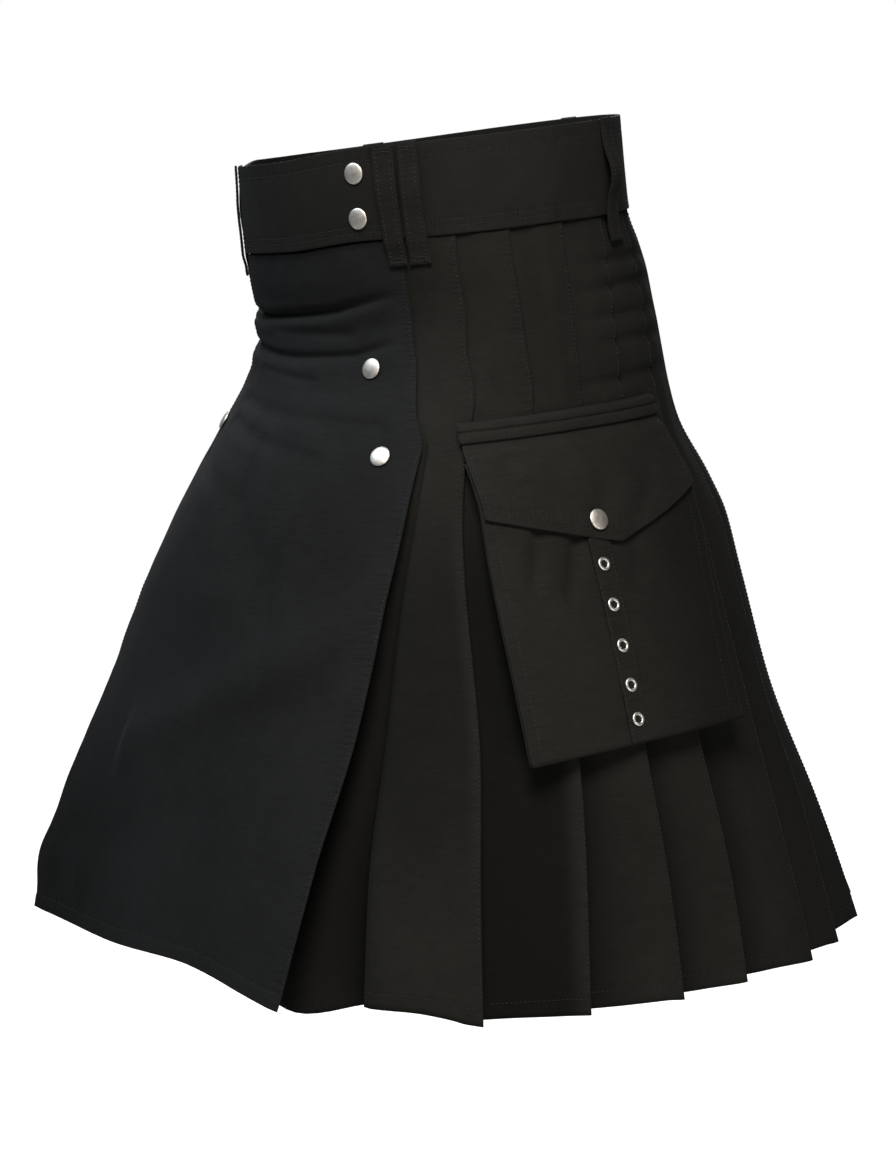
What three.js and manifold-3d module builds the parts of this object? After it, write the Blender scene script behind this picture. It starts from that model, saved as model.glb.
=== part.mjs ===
import * as THREE from 'three';
import Module from 'manifold-3d';

// A black utility kilt in the form it has when worn: a flat front apron over knife pleats,
// a deep waistband with belt loops, and a cargo pocket with a snapped flap on each hip.
// Millimetres, +Z up, the front towards -Y and the wearer's left towards +X.
// The origin is the middle of the waist, at half the height of the waistband.
// An angle goes round the body from the middle of the front towards the wearer's left, in degrees.
// A drop is measured down from the waistband's top edge, and "out" away from the worn surface.

const HEM_DROP = 587;
const BAND_HEIGHT = 66;
const TOP_TILT = 20;
const CLOTH = 1.3;
const SEAM_GAP = 0.4;

// The worn surface: half its width, and its depth in front of and behind the middle
const WORN_SHAPE = [
  { drop: 0, side: 158, front: 123.5, back: 136 },
  { drop: 66, side: 160, front: 115.5, back: 147 },
  { drop: 92, side: 162, front: 111, back: 161.5 },
  { drop: 112, side: 164, front: 105, back: 170.5 },
  { drop: 130, side: 166, front: 102, back: 175.5 },
  { drop: 148, side: 168.5, front: 103.5, back: 180.5 },
  { drop: 168, side: 171.5, front: 110, back: 185 },
  { drop: 192, side: 175.5, front: 127, back: 190.5 },
  { drop: 220, side: 182, front: 150, back: 200 },
  { drop: 262, side: 195, front: 181, back: 230 },
  { drop: 292, side: 206, front: 199, back: 246 },
  { drop: 330, side: 221, front: 217, back: 253 },
  { drop: 410, side: 251, front: 243.5, back: 271 },
  { drop: 500, side: 284.5, front: 277, back: 310 },
  { drop: 587, side: 312, front: 292, back: 350 },
];
// The band dips at the front, more on the wearer's right, and a little at both hips; the dip fades below it
const FRONT_DIP = { depth: 4.5, starts: -62, full: -42, eases: 0, ends: 30 };
const HIP_DIP = 3;
const DIP_GONE = 110;

// Two deep creases round the front of the waist, in every layer: their drop and depth at some angles
const WAIST_CREASES = [
  [
    { angle: -88, drop: 106, depth: 0 },
    { angle: -74, drop: 107, depth: 7 },
    { angle: -54, drop: 110, depth: 8.5 },
    { angle: -30, drop: 119, depth: 7.5 },
    { angle: -4, drop: 117, depth: 7 },
    { angle: 12, drop: 116, depth: 7 },
    { angle: 24, drop: 108, depth: 6 },
    { angle: 34, drop: 105, depth: 0 },
  ],
  [
    { angle: -88, drop: 133, depth: 0 },
    { angle: -74, drop: 134, depth: 5 },
    { angle: -54, drop: 137.5, depth: 6 },
    { angle: -30, drop: 144, depth: 5 },
    { angle: -4, drop: 149, depth: 5 },
    { angle: 18, drop: 148.5, depth: 5 },
    { angle: 27, drop: 144, depth: 4 },
    { angle: 34, drop: 140, depth: 0 },
  ],
];
const CREASE_REACH = 5;
const CREASE_LIP = { below: 10, reach: 6, height: 0.3 };
// The rows of cloth over the waist, where the creases cross it and where they don't
const WAIST_DROPS = { creased: [84, 98, 106, 111, 116, 121, 127, 134, 139, 144, 149, 156], plain: [92] };

// The apron's side edge, and how far the apron is pulled flat between its two edges
const APRON_SHAPE = [
  { drop: 66, edge: 40.4, flat: 0 },
  { drop: 130, edge: 38.5, flat: 0 },
  { drop: 168, edge: 41, flat: 0.05 },
  { drop: 192, edge: 44.5, flat: 0.1 },
  { drop: 220, edge: 49.4, flat: 0.16 },
  { drop: 262, edge: 49.6, flat: 0.25 },
  { drop: 330, edge: 47.5, flat: 0.42 },
  { drop: 410, edge: 43.8, flat: 0.62 },
  { drop: 500, edge: 39.3, flat: 0.82 },
  { drop: 587, edge: 34.7, flat: 0.94 },
];

// How the cloth beside the apron opens below the stitching: the crease where the side panel starts,
// how far its hidden front lies behind the apron, and how far the whole opening has come, 0 to 1
const OPENING = [
  { drop: 66, crease: 43, recess: 0, open: 0, depth: 4.2, underlay: 20 },
  { drop: 192, crease: 46.5, recess: 0, open: 0, depth: 4.2, underlay: 20 },
  { drop: 220, crease: 51, recess: 1.5, open: 0.04, depth: 5, underlay: 20 },
  { drop: 262, crease: 51.5, recess: 5, open: 0.15, depth: 7, underlay: 19 },
  { drop: 330, crease: 50, recess: 11, open: 0.35, depth: 10, underlay: 18 },
  { drop: 410, crease: 47.8, recess: 16, open: 0.58, depth: 13, underlay: 17 },
  { drop: 500, crease: 46.2, recess: 20, open: 0.8, depth: 16, underlay: 16 },
  { drop: 587, crease: 44.9, recess: 22, open: 1, depth: 19, underlay: 15 },
];

// The angle of each knife pleat's folded edge at five drops, and how far it stands proud at the hem
const FOLD_DROPS = { top: 66, waist: 145, fell: 192, middle: 410, hem: 587 };
const PLEATS = [
  { top: 55.9, waist: 55.2, fell: 60.2, middle: 62.7, hem: 60.5, proud: 14 },
  { top: 72.9, waist: 75.2, fell: 78.2, middle: 78.6, hem: 74.4, proud: 4 },
  { top: 92.8, waist: 94.2, fell: 94.4, middle: 91.3, hem: 88.9, proud: 0 },
  { top: 109.4, waist: 108.4, fell: 107.4, middle: 103.3, hem: 99.6, proud: -3 },
  { top: 125.6, waist: 125, fell: 123.5, middle: 119, hem: 112.6, proud: 0 },
  { top: 138, waist: 137.4, fell: 135.5, middle: 130.5, hem: 122.5, proud: -2 },
  { top: 149.5, waist: 148.9, fell: 147.5, middle: 143.5, hem: 136.5, proud: 0 },
  { top: 160.5, waist: 160, fell: 159, middle: 156, hem: 150.5, proud: 2 },
  { top: 171, waist: 170.6, fell: 170, middle: 168, hem: 164.5, proud: 0 },
];
const PLEAT_PLY = 2.1;
const PLEAT_RISE = 3.3;

// The bands, from the inside out: under the apron, round the pleats, and on top of the apron
const BANDS = {
  under: { from: -40, to: 40, middle: -2, wall: 1.8 },
  back: { from: 31, to: 329, middle: 0.6, wall: 2.4 },
  front: { from: -36.2, to: 36.2, middle: 3.4, wall: 2.2 },
};
const BAND_STEP = 6;
const APRON_OUT = 1.9;
// The hidden apron: how far round it reaches, how it settles inwards, and how it clears the opening
const UNDER_APRON = { reach: 0.92, settle: 11, recessShare: 1.1 };
// Where the hidden front of the pleated cloth lies behind the apron, as shares of the apron's half width
const HIDDEN_FRONT = { start: 0.87, end: 0.97 };

// The apron's main folds: a ridge or trough along a line from one place to another
// across goes from -1 at the wearer's right edge to 1 at the left edge
const APRON_FOLDS = [
  { from: -0.75, to: 0.8, dropFrom: 184, dropTo: 200, width: 9, height: -2.2 },
  { from: -0.65, to: 0.5, dropFrom: 198, dropTo: 226, width: 9, height: -2 },
  { from: -0.1, to: 0.45, dropFrom: 250, dropTo: 330, width: 34, height: -5 },
  { from: -0.55, to: 0.95, dropFrom: 452, dropTo: 330, width: 26, height: 7 },
  { from: -0.9, to: 0.3, dropFrom: 545, dropTo: 470, width: 30, height: -4 },
  { from: -1.6, to: -0.5, dropFrom: 546, dropTo: 546, width: 22, height: 6 },
];
// How soon a fold reaches its full height from its ends, as a share of half its length
const FOLD_FADE = 0.16;
// The apron's hem rides up a little between two places across it
const HEM_LIFT = { height: 7, from: -0.33, to: 0.99, starts: 480 };

// Belt loops: the angle and half width at the top and at the foot, the band that each lies on,
// how far out its foot is sewn, and how far it bows out at its fullest drop
const LOOP_DROPS = [-1, 6, 20, 33, 48, 58, BAND_HEIGHT + 1, 73, 79, 86];
const LOOP_BOW_REACH = 16;
const LOOP_CLOTH = 1.6;
const APRON_LOOP = { top: 36.95, foot: 38.4, halfTop: 3.2, halfFoot: 2.7, on: 'front', sewnOut: 3.2 };
const SIDE_LOOP = { top: 43.75, foot: 44.7, halfTop: 2.85, halfFoot: 3.2, on: 'back', sewnOut: 1.1 };
const REAR_LOOP = { top: 113.2, foot: 114.5, halfTop: 3.3, halfFoot: 3.3, on: 'back', sewnOut: 1.1 };
const LOOPS = [
  { ...APRON_LOOP, name: 'belt_loop_apron_left', side: 1, bow: 1.2, fullest: 33 },
  { ...APRON_LOOP, name: 'belt_loop_apron_right', side: -1, bow: 3.8, fullest: 55 },
  { ...SIDE_LOOP, name: 'belt_loop_side_left', side: 1, bow: 1.6, fullest: 33 },
  { ...SIDE_LOOP, name: 'belt_loop_side_right', side: -1, bow: 1.6, fullest: 33 },
  { ...REAR_LOOP, name: 'belt_loop_rear_left', side: 1, bow: 6.5, fullest: 38 },
  { ...REAR_LOOP, name: 'belt_loop_rear_right', side: -1, bow: 3.6, fullest: 33 },
  {
    name: 'belt_loop_back', side: 1, top: 180, foot: 180, halfTop: 3.2, halfFoot: 3.2,
    on: 'back', sewnOut: 1.1, bow: 2.4, fullest: 33,
  },
];

// The pocket: the angles of its edges where it is sewn on, and their places where it hangs flat below
const POCKET_SHAPE = [
  { level: -166, frontAngle: 56.3, backAngle: 116.4, frontY: -99, backY: 76, flat: 0, slant: 9.3 },
  { level: -181, frontAngle: 58.5, backAngle: 117.5, frontY: -98, backY: 78, flat: 0.03, slant: 9.3 },
  { level: -229, frontAngle: 65.3, backAngle: 120.8, frontY: -97, backY: 86, flat: 0.3, slant: 9.3 },
  { level: -310, frontAngle: 68, backAngle: 117, frontY: -97, backY: 89, flat: 0.62, slant: 8.6 },
  { level: -395, frontAngle: 70.4, backAngle: 112.6, frontY: -98, backY: 92, flat: 0.85, slant: 7.3 },
];
const POCKET = {
  middleAngle: 88.5,
  middleY: -3,
  top: -193,
  bottom: -388.5,
  stand: 2.4,
  mouth: 3.6,
  bulge: 3,
  seat: 1.2,
  halfWidth: 92,
};
const STRIP = { top: -166, bottom: -180.6, thickness: 3.6, ridge: 1.4 };
const FLAP = { top: -181, corner: -229, tip: -257.5, tipAcross: 0.18, over: 2.6, wall: 1.3, lift: 9 };
const FLAP_ROWS = [0, 0.2, 0.45, 0.72, 1];
const PLACKET = { half: 0.092, top: -244, bottom: -387.5, wall: 1.2 };
const EYELET = {
  outer: 4.75, barrel: 2.9, hole: 2.2, lip: 0.35, foot: -0.9, seat: 0.25, top: 1.1,
  levels: [-270, -297, -324, -350, -372.5],
};

// Each snap cap lies a little off the cloth under it
const SNAP_RADIUS = 7.5;
const SNAP_GAP = { band: 0.4, apron: 0.65, flap: 0.4 };
const FLAP_SNAP = { across: 0.03, level: -240.5 };
const APRON_SNAPS = [
  { name: 'snap_band_top_left', angle: 28, drop: 18, on: 'band' },
  { name: 'snap_band_low_left', angle: 28, drop: 50, on: 'band' },
  { name: 'snap_apron_top_left', angle: 26.4, drop: 158, on: 'apron' },
  { name: 'snap_apron_low_left', angle: 38.8, drop: 221, on: 'apron' },
  { name: 'snap_apron_low_right', angle: -37.8, drop: 202, on: 'apron' },
];

const drill = new THREE.MeshStandardMaterial({ name: 'cotton_drill', color: 0x1b1b1d, roughness: 0.88 });
const trim = new THREE.MeshStandardMaterial({ name: 'band_drill', color: 0x1d1c1b, roughness: 0.86 });
const nickel = new THREE.MeshStandardMaterial({
  name: 'satin_nickel', color: 0xb7b0a4, roughness: 0.34, metalness: 1,
});

// Tables and places on the worn surface

function along(table, column, drop, key = 'drop') {
  const way = Math.sign(table[1][key] - table[0][key]);
  let row = 0;
  while (row < table.length - 2 && (drop - table[row + 1][key]) * way > 0) {
    row += 1;
  }
  const [upper, lower] = [table[row], table[row + 1]];
  const share = (drop - upper[key]) / (lower[key] - upper[key]);
  return THREE.MathUtils.lerp(upper[column], lower[column], THREE.MathUtils.clamp(share, 0, 1));
}

function wornRadii(angle, drop) {
  const depth = Math.cos(THREE.MathUtils.degToRad(angle)) > 0 ? 'front' : 'back';
  return { side: along(WORN_SHAPE, 'side', drop), depth: along(WORN_SHAPE, depth, drop) };
}

function bandDip(angle, drop) {
  const { depth, starts, full, eases, ends } = FRONT_DIP;
  const { smoothstep } = THREE.MathUtils;
  const front = depth * smoothstep(angle, starts, full) * (1 - smoothstep(angle, eases, ends));
  const hip = HIP_DIP * Math.sin(THREE.MathUtils.degToRad(angle)) ** 2;
  return (front + hip) * (1 - smoothstep(drop, BAND_HEIGHT, DIP_GONE));
}

function waistCrease(angle, drop) {
  return WAIST_CREASES.reduce((sum, line) => {
    const past = drop - along(line, 'drop', angle, 'angle');
    const lip = CREASE_LIP.height * Math.exp(-(((past - CREASE_LIP.below) / CREASE_LIP.reach) ** 2));
    return sum + along(line, 'depth', angle, 'angle') * (lip - Math.exp(-((past / CREASE_REACH) ** 2)));
  }, 0);
}

function wornPoint(angle, drop, out = 0) {
  const turn = THREE.MathUtils.degToRad(angle);
  const signed = ((angle + 180) % 360) - 180;
  const { side, depth } = wornRadii(angle, drop);
  const outward = new THREE.Vector2(Math.sin(turn) / side, -Math.cos(turn) / depth).normalize();
  const tilt = TOP_TILT * (1 - drop / HEM_DROP);
  const away = out + waistCrease(signed, drop);
  return new THREE.Vector3(
    side * Math.sin(turn) + away * outward.x,
    -depth * Math.cos(turn) + away * outward.y,
    BAND_HEIGHT / 2 - drop - tilt * Math.cos(turn) - bandDip(signed, drop),
  );
}

function millimetresPerDegree(angle, drop) {
  const turn = THREE.MathUtils.degToRad(angle);
  const { side, depth } = wornRadii(angle, drop);
  return THREE.MathUtils.degToRad(Math.hypot(side * Math.cos(turn), depth * Math.sin(turn)));
}

// The drop at which the worn surface reaches a height at an angle
function dropAtHeight(angle, z) {
  const dip = TOP_TILT * Math.cos(THREE.MathUtils.degToRad(angle));
  return (BAND_HEIGHT / 2 - z - dip) / (1 - dip / HEM_DROP);
}

function spread(from, to, count) {
  return Array.from({ length: count }, (_, i) => from + ((to - from) * i) / (count - 1));
}

// Closed walls from two grids of points, whose rows go down and whose columns go round

function wallGeometry(outer, inner, closed = false) {
  const rows = outer.length;
  const columns = outer[0].length;
  const points = [...outer.flat(), ...inner.flat()];
  const outside = (row, column) => row * columns + (column % columns);
  const inside = (row, column) => rows * columns + outside(row, column);
  const faces = [];
  const quad = (a, b, c, d) => faces.push(a, b, c, a, c, d);
  const spans = closed ? columns : columns - 1;
  for (let column = 0; column < spans; column += 1) {
    const next = column + 1;
    for (let row = 0; row < rows - 1; row += 1) {
      quad(outside(row, column), outside(row + 1, column), outside(row + 1, next), outside(row, next));
      quad(inside(row, column), inside(row, next), inside(row + 1, next), inside(row + 1, column));
    }
    const end = rows - 1;
    quad(outside(0, column), outside(0, next), inside(0, next), inside(0, column));
    quad(outside(end, column), inside(end, column), inside(end, next), outside(end, next));
  }
  if (!closed) {
    const last = columns - 1;
    for (let row = 0; row < rows - 1; row += 1) {
      quad(outside(row, 0), inside(row, 0), inside(row + 1, 0), outside(row + 1, 0));
      quad(outside(row, last), outside(row + 1, last), inside(row + 1, last), inside(row, last));
    }
  }
  return fromFaces(points.flatMap((point) => point.toArray()), faces);
}

function fromFaces(positions, faces) {
  const geometry = new THREE.BufferGeometry();
  geometry.setAttribute('position', new THREE.Float32BufferAttribute(positions, 3));
  geometry.setIndex(faces);
  return geometry;
}

// A sheet of cloth: pointAt(across, down, out) gives a place at a distance from its surface
function sheetGeometry(pointAt, acrosses, downs, middle, wall) {
  const gridAt = (shift) => downs.map((down) => acrosses.map((across) => {
    const base = typeof middle === 'function' ? middle(across, down) : middle;
    return pointAt(across, down, base + shift);
  }));
  return wallGeometry(gridAt(wall / 2), gridAt(-wall / 2));
}

function piece(name, geometry, material) {
  const mesh = new THREE.Mesh(geometry, material);
  mesh.name = name;
  return mesh;
}

// The same piece on the wearer's other side
function mirrored(mesh, name) {
  const geometry = mesh.geometry.clone().applyMatrix4(mesh.matrix);
  geometry.scale(-1, 1, 1);
  const faces = Array.from(geometry.index.array);
  for (let i = 0; i < faces.length; i += 3) {
    [faces[i + 1], faces[i + 2]] = [faces[i + 2], faces[i + 1]];
  }
  geometry.setIndex(faces);
  return piece(name, geometry, mesh.material);
}

function bothSides(mesh) {
  const left = piece(`${mesh.name}_left`, mesh.geometry, mesh.material);
  return [left, mirrored(mesh, `${mesh.name}_right`)];
}

// Waistband

function bandPiece(name, band) {
  const count = Math.round((band.to - band.from) / BAND_STEP) + 1;
  const geometry = sheetGeometry(wornPoint, spread(band.from, band.to, count), [0, BAND_HEIGHT],
    band.middle, band.wall);
  return piece(name, geometry, trim);
}

// Front apron and the apron under it

function windowed(value, from, to, fade = FOLD_FADE) {
  const middle = (from + to) / 2;
  const reach = (to - from) / 2;
  const share = THREE.MathUtils.clamp(1 - Math.abs(value - middle) / reach, 0, 1);
  return THREE.MathUtils.smoothstep(share, 0, fade);
}

function apronRelief(across, drop) {
  return APRON_FOLDS.reduce((sum, fold) => {
    const share = (across - fold.from) / (fold.to - fold.from);
    const line = THREE.MathUtils.lerp(fold.dropFrom, fold.dropTo, share);
    const fall = Math.exp(-(((drop - line) / fold.width) ** 2));
    return sum + fold.height * fall * windowed(across, fold.from, fold.to);
  }, 0);
}

function apronPoint(across, drop, out = 0) {
  const edge = along(APRON_SHAPE, 'edge', drop);
  const flat = along(APRON_SHAPE, 'flat', drop);
  const point = wornPoint(across * edge, drop, out);
  const onSurface = wornPoint(across * edge, drop).y;
  point.y += flat * (wornPoint(edge, drop).y - onSurface);
  const lifted = THREE.MathUtils.smoothstep(drop, HEM_LIFT.starts, HEM_DROP);
  point.z += HEM_LIFT.height * lifted * windowed(across, HEM_LIFT.from, HEM_LIFT.to, 1);
  return point;
}

function creasedApronPoint(across, drop, out = 0) {
  return apronPoint(across, drop, out + apronRelief(across, drop));
}

function frontApron() {
  const top = BAND_HEIGHT + SEAM_GAP;
  const downs = [top, ...WAIST_DROPS.creased, 168, 180, 192, 204, 216, 232, 262, 296, 330, 370, 410, 455, 500,
    543, HEM_DROP];
  const acrosses = [-1, -0.93, -0.86, -0.78, ...spread(-0.7, 0.7, 13), 0.78, 0.86, 0.93, 1];
  return piece('front_apron', sheetGeometry(creasedApronPoint, acrosses, downs, APRON_OUT, CLOTH), drill);
}

function underApron() {
  const downs = [BAND_HEIGHT + SEAM_GAP, ...WORN_SHAPE.slice(2).map((row) => row.drop)];
  const acrosses = spread(-UNDER_APRON.reach, UNDER_APRON.reach, 9);
  const middle = (across, drop) => {
    const settle = THREE.MathUtils.smoothstep(drop, BAND_HEIGHT, WORN_SHAPE[3].drop);
    const recess = UNDER_APRON.recessShare * along(OPENING, 'recess', drop);
    return BANDS.under.middle - UNDER_APRON.settle * settle - recess;
  };
  return piece('under_apron', sheetGeometry(apronPoint, acrosses, downs, middle, CLOTH), drill);
}

// Pleated body

function foldAngle(pleat, drop) {
  const rows = Object.entries(FOLD_DROPS).map(([place, at]) => ({ drop: at, angle: pleat[place] }));
  return along(rows, 'angle', drop);
}

// The middle line of the pleated cloth at one drop, between the apron and the middle of the back
function pleatLine(drop, side) {
  const at = (angle, out) => wornPoint(side * angle, drop, out);
  const [crease, recess, open, depth, underlay] = ['crease', 'recess', 'open', 'depth', 'underlay']
    .map((column) => along(OPENING, column, drop));
  const { start, end } = HIDDEN_FRONT;
  const line = [start, end].map((across) => apronPoint(side * across, drop, -recess));
  line.push(at(crease, 0));
  PLEATS.forEach((pleat) => {
    const edge = foldAngle(pleat, drop);
    const hidden = edge - underlay / millimetresPerDegree(edge, drop);
    const proud = pleat.proud * open;
    line.push(at(hidden, proud - PLEAT_RISE * open));
    line.push(at(edge, proud));
    line.push(at(edge, proud - PLEAT_PLY));
    line.push(at(hidden, proud - depth + PLEAT_PLY));
    line.push(at(hidden, proud - depth));
    line.push(at(edge, proud - depth * (1 - 0.17 * open)));
  });
  const seam = SEAM_GAP / 2 / millimetresPerDegree(180, drop);
  line.push(at(180 - seam, -depth * open * 0.5));
  return side > 0 ? line : line.reverse();
}

// The line moved sideways in plan, with mitred corners
function offsetLine(line, distance) {
  const turned = (from, to) => new THREE.Vector2(to.y - from.y, from.x - to.x).normalize();
  return line.map((point, i) => {
    const before = i > 0 ? turned(line[i - 1], point) : turned(point, line[i + 1]);
    const after = i < line.length - 1 ? turned(point, line[i + 1]) : before;
    const mitre = before.clone().add(after).normalize();
    const reach = distance / Math.max(mitre.dot(before), 0.55);
    return new THREE.Vector3(point.x + mitre.x * reach, point.y + mitre.y * reach, point.z);
  });
}

function pleatedSide(name, side, waist) {
  const worn = WORN_SHAPE.map((row) => row.drop);
  const drops = [BAND_HEIGHT + SEAM_GAP, ...waist, ...worn.filter((drop) => drop > waist.at(-1))];
  const lines = drops.map((drop) => pleatLine(drop, side));
  const outer = lines.map((line) => offsetLine(line, CLOTH / 2));
  const inner = lines.map((line) => offsetLine(line, -CLOTH / 2));
  return piece(name, wallGeometry(outer, inner), drill);
}

// Belt loops

function beltLoop(loop) {
  const band = BANDS[loop.on];
  const face = band.middle + band.wall / 2 + SEAM_GAP;
  const [sewn, foot] = [LOOP_DROPS.at(-2), LOOP_DROPS.at(-1)];
  const middle = (across, drop) => {
    const settled = THREE.MathUtils.smoothstep(drop, BAND_HEIGHT + 1, sewn);
    const bow = loop.bow * Math.exp(-(((drop - loop.fullest) / LOOP_BOW_REACH) ** 2));
    return THREE.MathUtils.lerp(face, loop.sewnOut, settled) + bow + LOOP_CLOTH / 2;
  };
  const pointAt = (across, drop, out) => {
    const share = drop / foot;
    const centre = loop.side * THREE.MathUtils.lerp(loop.top, loop.foot, share);
    const half = THREE.MathUtils.lerp(loop.halfTop, loop.halfFoot, share);
    return wornPoint(centre + across * half, drop, out);
  };
  return piece(loop.name, sheetGeometry(pointAt, [-1, 0, 1], LOOP_DROPS, middle, LOOP_CLOTH), trim);
}

// Pocket: across goes from -1 at its front edge to 1 at its rear edge; level is the height at its middle

function pocketPoint(across, level, out = 0) {
  const columns = ['frontAngle', 'backAngle', 'frontY', 'backY', 'flat', 'slant'];
  const [frontAngle, backAngle, frontY, backY, flat, slant] = columns
    .map((column) => along(POCKET_SHAPE, column, level, 'level'));
  const z = level + slant * across;
  const share = Math.abs(across);
  const angle = THREE.MathUtils.lerp(POCKET.middleAngle, across < 0 ? frontAngle : backAngle, share);
  const hangingY = THREE.MathUtils.lerp(POCKET.middleY, across < 0 ? frontY : backY, share);
  const stand = POCKET.stand * THREE.MathUtils.smoothstep(-level, -STRIP.bottom, -FLAP.corner);
  const wrapped = wornPoint(angle, dropAtHeight(angle, z), out + stand);
  const middle = wornPoint(POCKET.middleAngle, dropAtHeight(POCKET.middleAngle, z), out + stand);
  const hanging = new THREE.Vector3(middle.x, hangingY, z);
  return wrapped.lerp(hanging, flat).setZ(z);
}

function bagThickness(across, level) {
  const down = (level - POCKET.top) / (POCKET.bottom - POCKET.top);
  const swell = (1 - across ** 4) * Math.sin(Math.PI * THREE.MathUtils.clamp(down, 0, 1) ** 0.8);
  return POCKET.mouth + POCKET.bulge * swell;
}

function bagFace(across, level) {
  return POCKET.seat + bagThickness(across, level);
}

// A flat bag: a tube of cloth that is open at the mouth and closed at the bottom
function pocketBag() {
  const acrosses = spread(-1, 1, 9);
  const levels = [POCKET.top, -210, -232, -262, -296, -330, -362, POCKET.bottom];
  const around = (level, wall) => {
    const inset = wall / POCKET.halfWidth;
    const place = (across, out) => pocketPoint(across * (1 - inset), level, out);
    const face = acrosses.map((across) => place(across, bagFace(across, level) - wall));
    const lining = acrosses.map((across) => place(-across, POCKET.seat + wall));
    return [...face, ...lining];
  };
  const outer = levels.map((level) => around(level, 0));
  const lifted = [...levels.slice(0, -1), POCKET.bottom + CLOTH];
  const inner = lifted.map((level) => around(level, CLOTH));
  const positions = [...outer.flat(), ...inner.flat()].flatMap((point) => point.toArray());
  const columns = outer[0].length;
  const half = columns / 2;
  const outside = (row, column) => row * columns + (column % columns);
  const inside = (row, column) => levels.length * columns + outside(row, column);
  const faces = [];
  const quad = (a, b, c, d) => faces.push(a, b, c, a, c, d);
  const last = levels.length - 1;
  for (let column = 0; column < columns; column += 1) {
    const next = column + 1;
    for (let row = 0; row < last; row += 1) {
      quad(outside(row, column), outside(row + 1, column), outside(row + 1, next), outside(row, next));
      quad(inside(row, column), inside(row, next), inside(row + 1, next), inside(row + 1, column));
    }
    quad(outside(0, column), outside(0, next), inside(0, next), inside(0, column));
  }
  for (let column = 0; column < half - 1; column += 1) {
    const [front, frontNext] = [column, column + 1];
    const [back, backNext] = [columns - 1 - column, columns - 2 - column];
    quad(outside(last, front), outside(last, back), outside(last, backNext), outside(last, frontNext));
    quad(inside(last, front), inside(last, frontNext), inside(last, backNext), inside(last, back));
  }
  return piece('pocket_bag', fromFaces(positions, faces), drill);
}

// The welt over the flap, with two ridges and a stitched groove between them
function pocketStrip() {
  const height = STRIP.top - STRIP.bottom;
  const ridges = [0, 0.22, 0.46, 0.72, 1];
  const raised = [0.4, 1, 0.25, 1, 0.4];
  const levels = ridges.map((share) => STRIP.top - share * height);
  const acrosses = spread(-1, 1, 11);
  const gridAt = (outAt) => levels.map((level, row) => acrosses.map((across) => (
    pocketPoint(across, level, outAt(row)))));
  const outer = gridAt((row) => POCKET.seat + STRIP.thickness + STRIP.ridge * raised[row]);
  const inner = gridAt(() => POCKET.seat);
  return piece('pocket_strip', wallGeometry(outer, inner), drill);
}

function flapEdge(across) {
  const share = across < FLAP.tipAcross
    ? (across + 1) / (FLAP.tipAcross + 1)
    : (1 - across) / (1 - FLAP.tipAcross);
  return THREE.MathUtils.lerp(FLAP.corner, FLAP.tip, share);
}

function flapOut(across, level) {
  const lifted = THREE.MathUtils.smoothstep(-level, -FLAP.top, -FLAP.top + FLAP.lift);
  const root = POCKET.seat + STRIP.thickness - CLOTH;
  return THREE.MathUtils.lerp(root, bagFace(across, Math.min(level, POCKET.top)) + FLAP.over, lifted);
}

function flapPoint(across, share, out = 0) {
  const level = THREE.MathUtils.lerp(FLAP.top, flapEdge(across), share);
  return pocketPoint(across, level, out + flapOut(across, level));
}

function pocketFlap() {
  const acrosses = [-0.985, -0.75, -0.5, -0.25, 0, FLAP.tipAcross, 0.4, 0.6, 0.8, 0.985];
  return piece('pocket_flap', sheetGeometry(flapPoint, acrosses, FLAP_ROWS, 0, FLAP.wall), drill);
}

function placketOut(across, level) {
  return bagFace(across, level) + SEAM_GAP;
}

function placketPoint(across, level, out = 0) {
  return pocketPoint(across, level, out + placketOut(across, level));
}

// Round fittings, turned about an axis that stands on the cloth

// The direction away from the cloth at a place; step says how far round and down its slope is measured
function outwardOn(pointAt, across, down, step) {
  const round = pointAt(across + step.across, down).sub(pointAt(across - step.across, down));
  const upwards = pointAt(across, down - step.down).sub(pointAt(across, down + step.down));
  return round.cross(upwards).normalize();
}

function standOn(geometry, foot, outward) {
  const turn = new THREE.Quaternion().setFromUnitVectors(new THREE.Vector3(0, 1, 0), outward);
  return geometry.applyQuaternion(turn).translate(foot.x, foot.y, foot.z);
}

function turned(profile, segments) {
  const geometry = new THREE.LatheGeometry(profile.map(([x, y]) => new THREE.Vector2(x, y)), segments);
  const source = geometry.getAttribute('position');
  const rings = profile.length;
  const closed = profile[0][0] === profile[rings - 1][0] && profile[0][1] === profile[rings - 1][1];
  const rows = closed ? rings - 1 : rings;
  const positions = [];
  const index = new Map();
  const vertexAt = (segment, ring) => {
    const onAxis = profile[ring][0] === 0;
    const key = `${onAxis ? 0 : segment % segments}:${ring % rows}`;
    if (!index.has(key)) {
      const from = (segment % segments) * rings + (ring % rows);
      index.set(key, positions.length / 3);
      positions.push(source.getX(from), source.getY(from), source.getZ(from));
    }
    return index.get(key);
  };
  const faces = [];
  for (let segment = 0; segment < segments; segment += 1) {
    for (let ring = 0; ring < rings - 1; ring += 1) {
      const [a, b] = [vertexAt(segment, ring), vertexAt(segment + 1, ring)];
      const [c, d] = [vertexAt(segment + 1, ring + 1), vertexAt(segment, ring + 1)];
      if (a !== b) {
        faces.push(a, b, c);
      }
      if (c !== d) {
        faces.push(a, c, d);
      }
    }
  }
  return fromFaces(positions, faces);
}

function snapCap(name, foot, outward) {
  const r = SNAP_RADIUS;
  const profile = [[0, 0], [r * 0.93, 0], [r, 0.55], [r * 0.86, 1.5], [r * 0.5, 2.15], [0, 2.4]];
  return piece(name, standOn(turned(profile, 14), foot, outward), nickel);
}

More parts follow.
